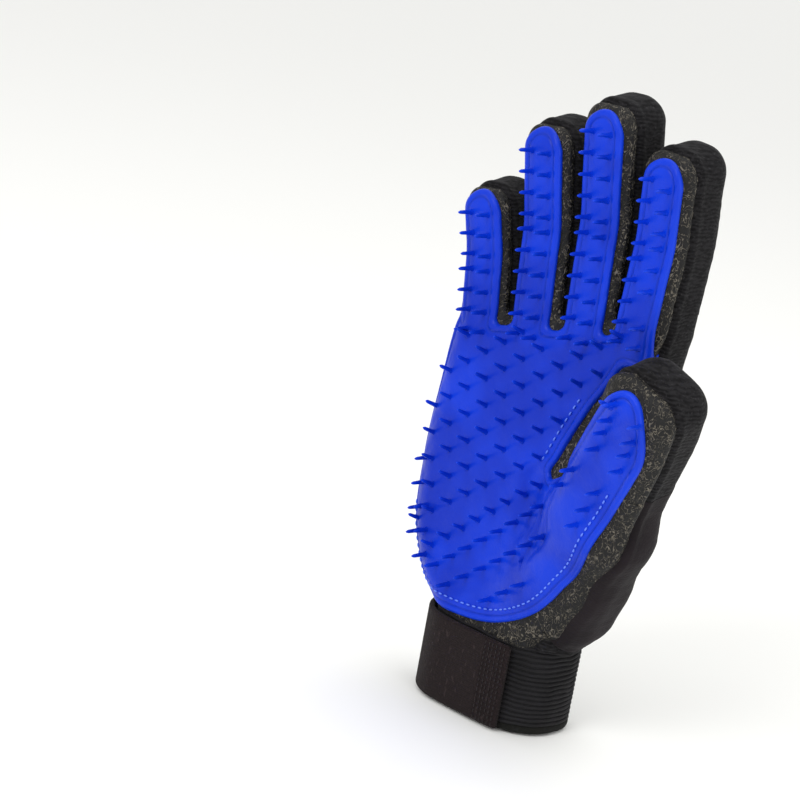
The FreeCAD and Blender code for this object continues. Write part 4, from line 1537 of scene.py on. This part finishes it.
    def strap(self, name: str, start_x: float | None, end_x: float, body: str, node: str) -> None:
        """One part of the strap: a webbing band with rounded edges and closed ends.

        Args:
            name: The piece's name.
            start_x: Where it starts, or None for the part sewn on at the side, whose end is bound.
            end_x: Where it ends.
            body: The body that it rides on.
            node: The CAD node that it stands for.
        """
        sewn = start_x is None
        at, out = self.strap_run(start_x, end_x)
        low, high, half = self.strap_low, self.strap_high, self.strap_wall / 2
        rows = (high - low - 2.0) * np.linspace(0, 1, 17)
        arc = np.radians(np.linspace(30, 150, 5))
        across, rise = half * np.cos(arc), np.sin(arc)
        grow = np.concatenate([np.full(17, half), across, np.full(17, -half), -across])
        z = np.concatenate([low + 1.0 + rows, high - 1.0 + rise, high - 1.0 - rows, low + 1.0 - rise])
        length = np.concatenate([[0], np.cumsum(np.linalg.norm(np.diff(at, axis=0), axis=1))])
        left = length[-1] - length
        raised = 0.35 * (1 - ease(4.4, 5.2, length)) if sewn else -0.25 * ease(10.5, 9.5, left)
        inset = np.zeros(len(at)) if sewn else 0.8 * np.maximum(0.0, 0.6 - left)
        sway = 0.03 * np.sin(length / 7.5)
        grow = grow + raised[:, None] * (grow > 0) + sway[:, None]
        z = np.clip(z, low + inset[:, None], high - inset[:, None])
        points = at[:, None] + out[:, None] * grow[..., None] + z[..., None] * np.array([0, 0, 1])
        count, ring = z.shape
        i, j = np.meshgrid(np.arange(count - 1), np.arange(ring), indexing="ij")
        a, b = i * ring + j, (i + 1) * ring + j
        c, d = (i + 1) * ring + (j + 1) % ring, i * ring + (j + 1) % ring
        faces = np.stack([a, b, c, d], -1).reshape(-1, 4).tolist()
        faces.append(list(range(ring)))
        faces.append([(count - 1) * ring + k for k in range(ring)][::-1])
        obj = self.shop.mesh(name, points.reshape(-1, 3), faces, STRAP, crease=60.0)
        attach(obj, body)
        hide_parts(node)
        self.rows_of_stitches(name, at, out, length, body, sewn)
        LOG.info("strap %s: %.0f mm long", name, length[-1])

    def rows_of_stitches(self, name: str, at: Array, out: Array, length: Array, body: str,
                         sewn: bool) -> None:
        """Upright rows of stitches: across the bound end, or over the fastening at the loose end.

        Args:
            name: The strap part's name.
            at: Points of its middle line.
            out: Their outward directions.
            length: Distance along it of each point.
            body: The body that it rides on.
            sewn: True for the part sewn on at the side.
        """
        places = (4.0,) if sewn else tuple(length[-1] - np.array([1.6, 3.2, 4.8, 6.4, 8.0, 9.6]))
        face = self.strap_wall / 2 + (0.35 if sewn else -0.2) + 0.12
        z = np.linspace(self.strap_low + 1.5, self.strap_high - 1.5, 30)
        points, faces = [], []
        for place in places:
            t = place / length[-1] * (len(at) - 1)
            i = int(t)
            p = at[i] * (1 - t + i) + at[min(i + 1, len(at) - 1)] * (t - i)
            run = p + out[int(np.abs(length - place).argmin())] * face + z[:, None] * np.array([0, 0, 1])
            row = self.shop.bake(name + "_row", self.shop.points_mesh(run, lines=True), self.shop.stitches,
                                 Pitch=0.0019, Length=0.0013, Radius=0.00026, Material=BLACK_THREAD.build())
            first = len(points)
            points += [v.co / MM for v in row.vertices]
            faces += [[v + first for v in f.vertices] for f in row.polygons]
        obj = self.shop.mesh(name + "_stitches", np.array(points), faces, BLACK_THREAD, crease=None)
        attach(obj, body)


@dataclass
class Studio:
    """Pale floor, soft light, and the camera."""

    azimuth: float = 42.0
    elevation: float = 14.0
    roll: float = 10.0
    lens: float = 102.15  # for a sensor 36 mm wide
    distance: float = 800.0
    aim_right: float = -32.775  # from the glove's origin to the point aimed at, across the view
    aim_up: float = 107.137  # and up it

    def build(self) -> None:
        """Builds the studio."""
        self.floor()
        self.camera()
        world = bpy.data.worlds.new("studio")
        world.use_nodes = True
        sky = world.node_tree.nodes["Background"]
        sky.inputs["Color"].default_value = (1.0, 1.0, 1.0, 1.0)
        sky.inputs["Strength"].default_value = 0.9
        scene = bpy.context.scene
        scene.world = world
        scene.view_settings.view_transform = "Standard"
        self.light("key", (0.05, -1.1, 0.95), 0.6, 6.5)
        self.light("fill", (1.1, -0.35, 0.35), 0.6, 2.0)
        self.light("top", (0.1, 0.3, 1.3), 0.7, 2.5)

    def light(self, name: str, place: tuple, size: float, power: float) -> None:
        """Adds a square softbox aimed at the glove's middle."""
        data = bpy.data.lights.new(name, "AREA")
        data.size, data.energy = size, power
        obj = bpy.data.objects.new(name, data)
        obj.location = place
        aim = Vector((0.01, -0.01, 0.1)) - Vector(place)
        obj.rotation_mode = "QUATERNION"
        obj.rotation_quaternion = aim.to_track_quat("-Z", "Y")
        bpy.context.scene.collection.objects.link(obj)

    def floor(self) -> None:
        """A plain pale floor that the cuff stands on."""
        data = bpy.data.meshes.new("floor")
        reach = 6.0
        corners = [(-reach, -reach, 0), (reach, -reach, 0), (reach, reach, 0), (-reach, reach, 0)]
        data.from_pydata(corners, [], [(0, 1, 2, 3)])
        obj = bpy.data.objects.new("floor", data)
        obj.location.z = min(CAD_BOX[0].z, 0.0) - 0.0005
        material = bpy.data.materials.new("matt_floor_paint")
        material.use_nodes = True
        shader = material.node_tree.nodes["Principled BSDF"]
        shader.inputs["Base Color"].default_value = linear("#fafaf7")
        shader.inputs["Roughness"].default_value = 0.9
        data.materials.append(material)
        bpy.context.scene.collection.objects.link(obj)

    def camera(self) -> None:
        """The camera, rolled so that the glove leans in the frame."""
        a, e, r = (math.radians(v) for v in (self.azimuth, self.elevation, self.roll))
        back = np.array([math.sin(a) * math.cos(e), -math.cos(a) * math.cos(e), math.sin(e)])
        level = np.array([math.cos(a), math.sin(a), 0.0])
        upright = np.cross(back, level)
        right = math.cos(r) * level + math.sin(r) * upright
        up = -math.sin(r) * level + math.cos(r) * upright
        target = self.aim_right * right + self.aim_up * up
        data = bpy.data.cameras.new("camera")
        data.sensor_width = 36.0
        data.lens = self.lens
        data.clip_start, data.clip_end = 0.05, 30.0
        obj = bpy.data.objects.new("camera", data)
        turn = Matrix((right, up, back)).transposed().to_4x4()
        obj.matrix_world = Matrix.Translation(Vector((target + self.distance * back) * MM)) @ turn
        bpy.context.scene.collection.objects.link(obj)
        bpy.context.scene.camera = obj


def main() -> None:
    """Builds the glove and its studio."""
    logging.basicConfig(level=logging.INFO, format="%(name)s %(message)s")
    shop = Workshop()
    moulding = Moulding(shop)
    Palm(shop, moulding).build()
    for seed, form in enumerate((*FINGERS, THUMB)):
        Digit(shop, moulding, form, 20 + seed * 7).build()
    Wrist(shop).build()
    Studio().build()


if __name__ == "__main__":
    main()
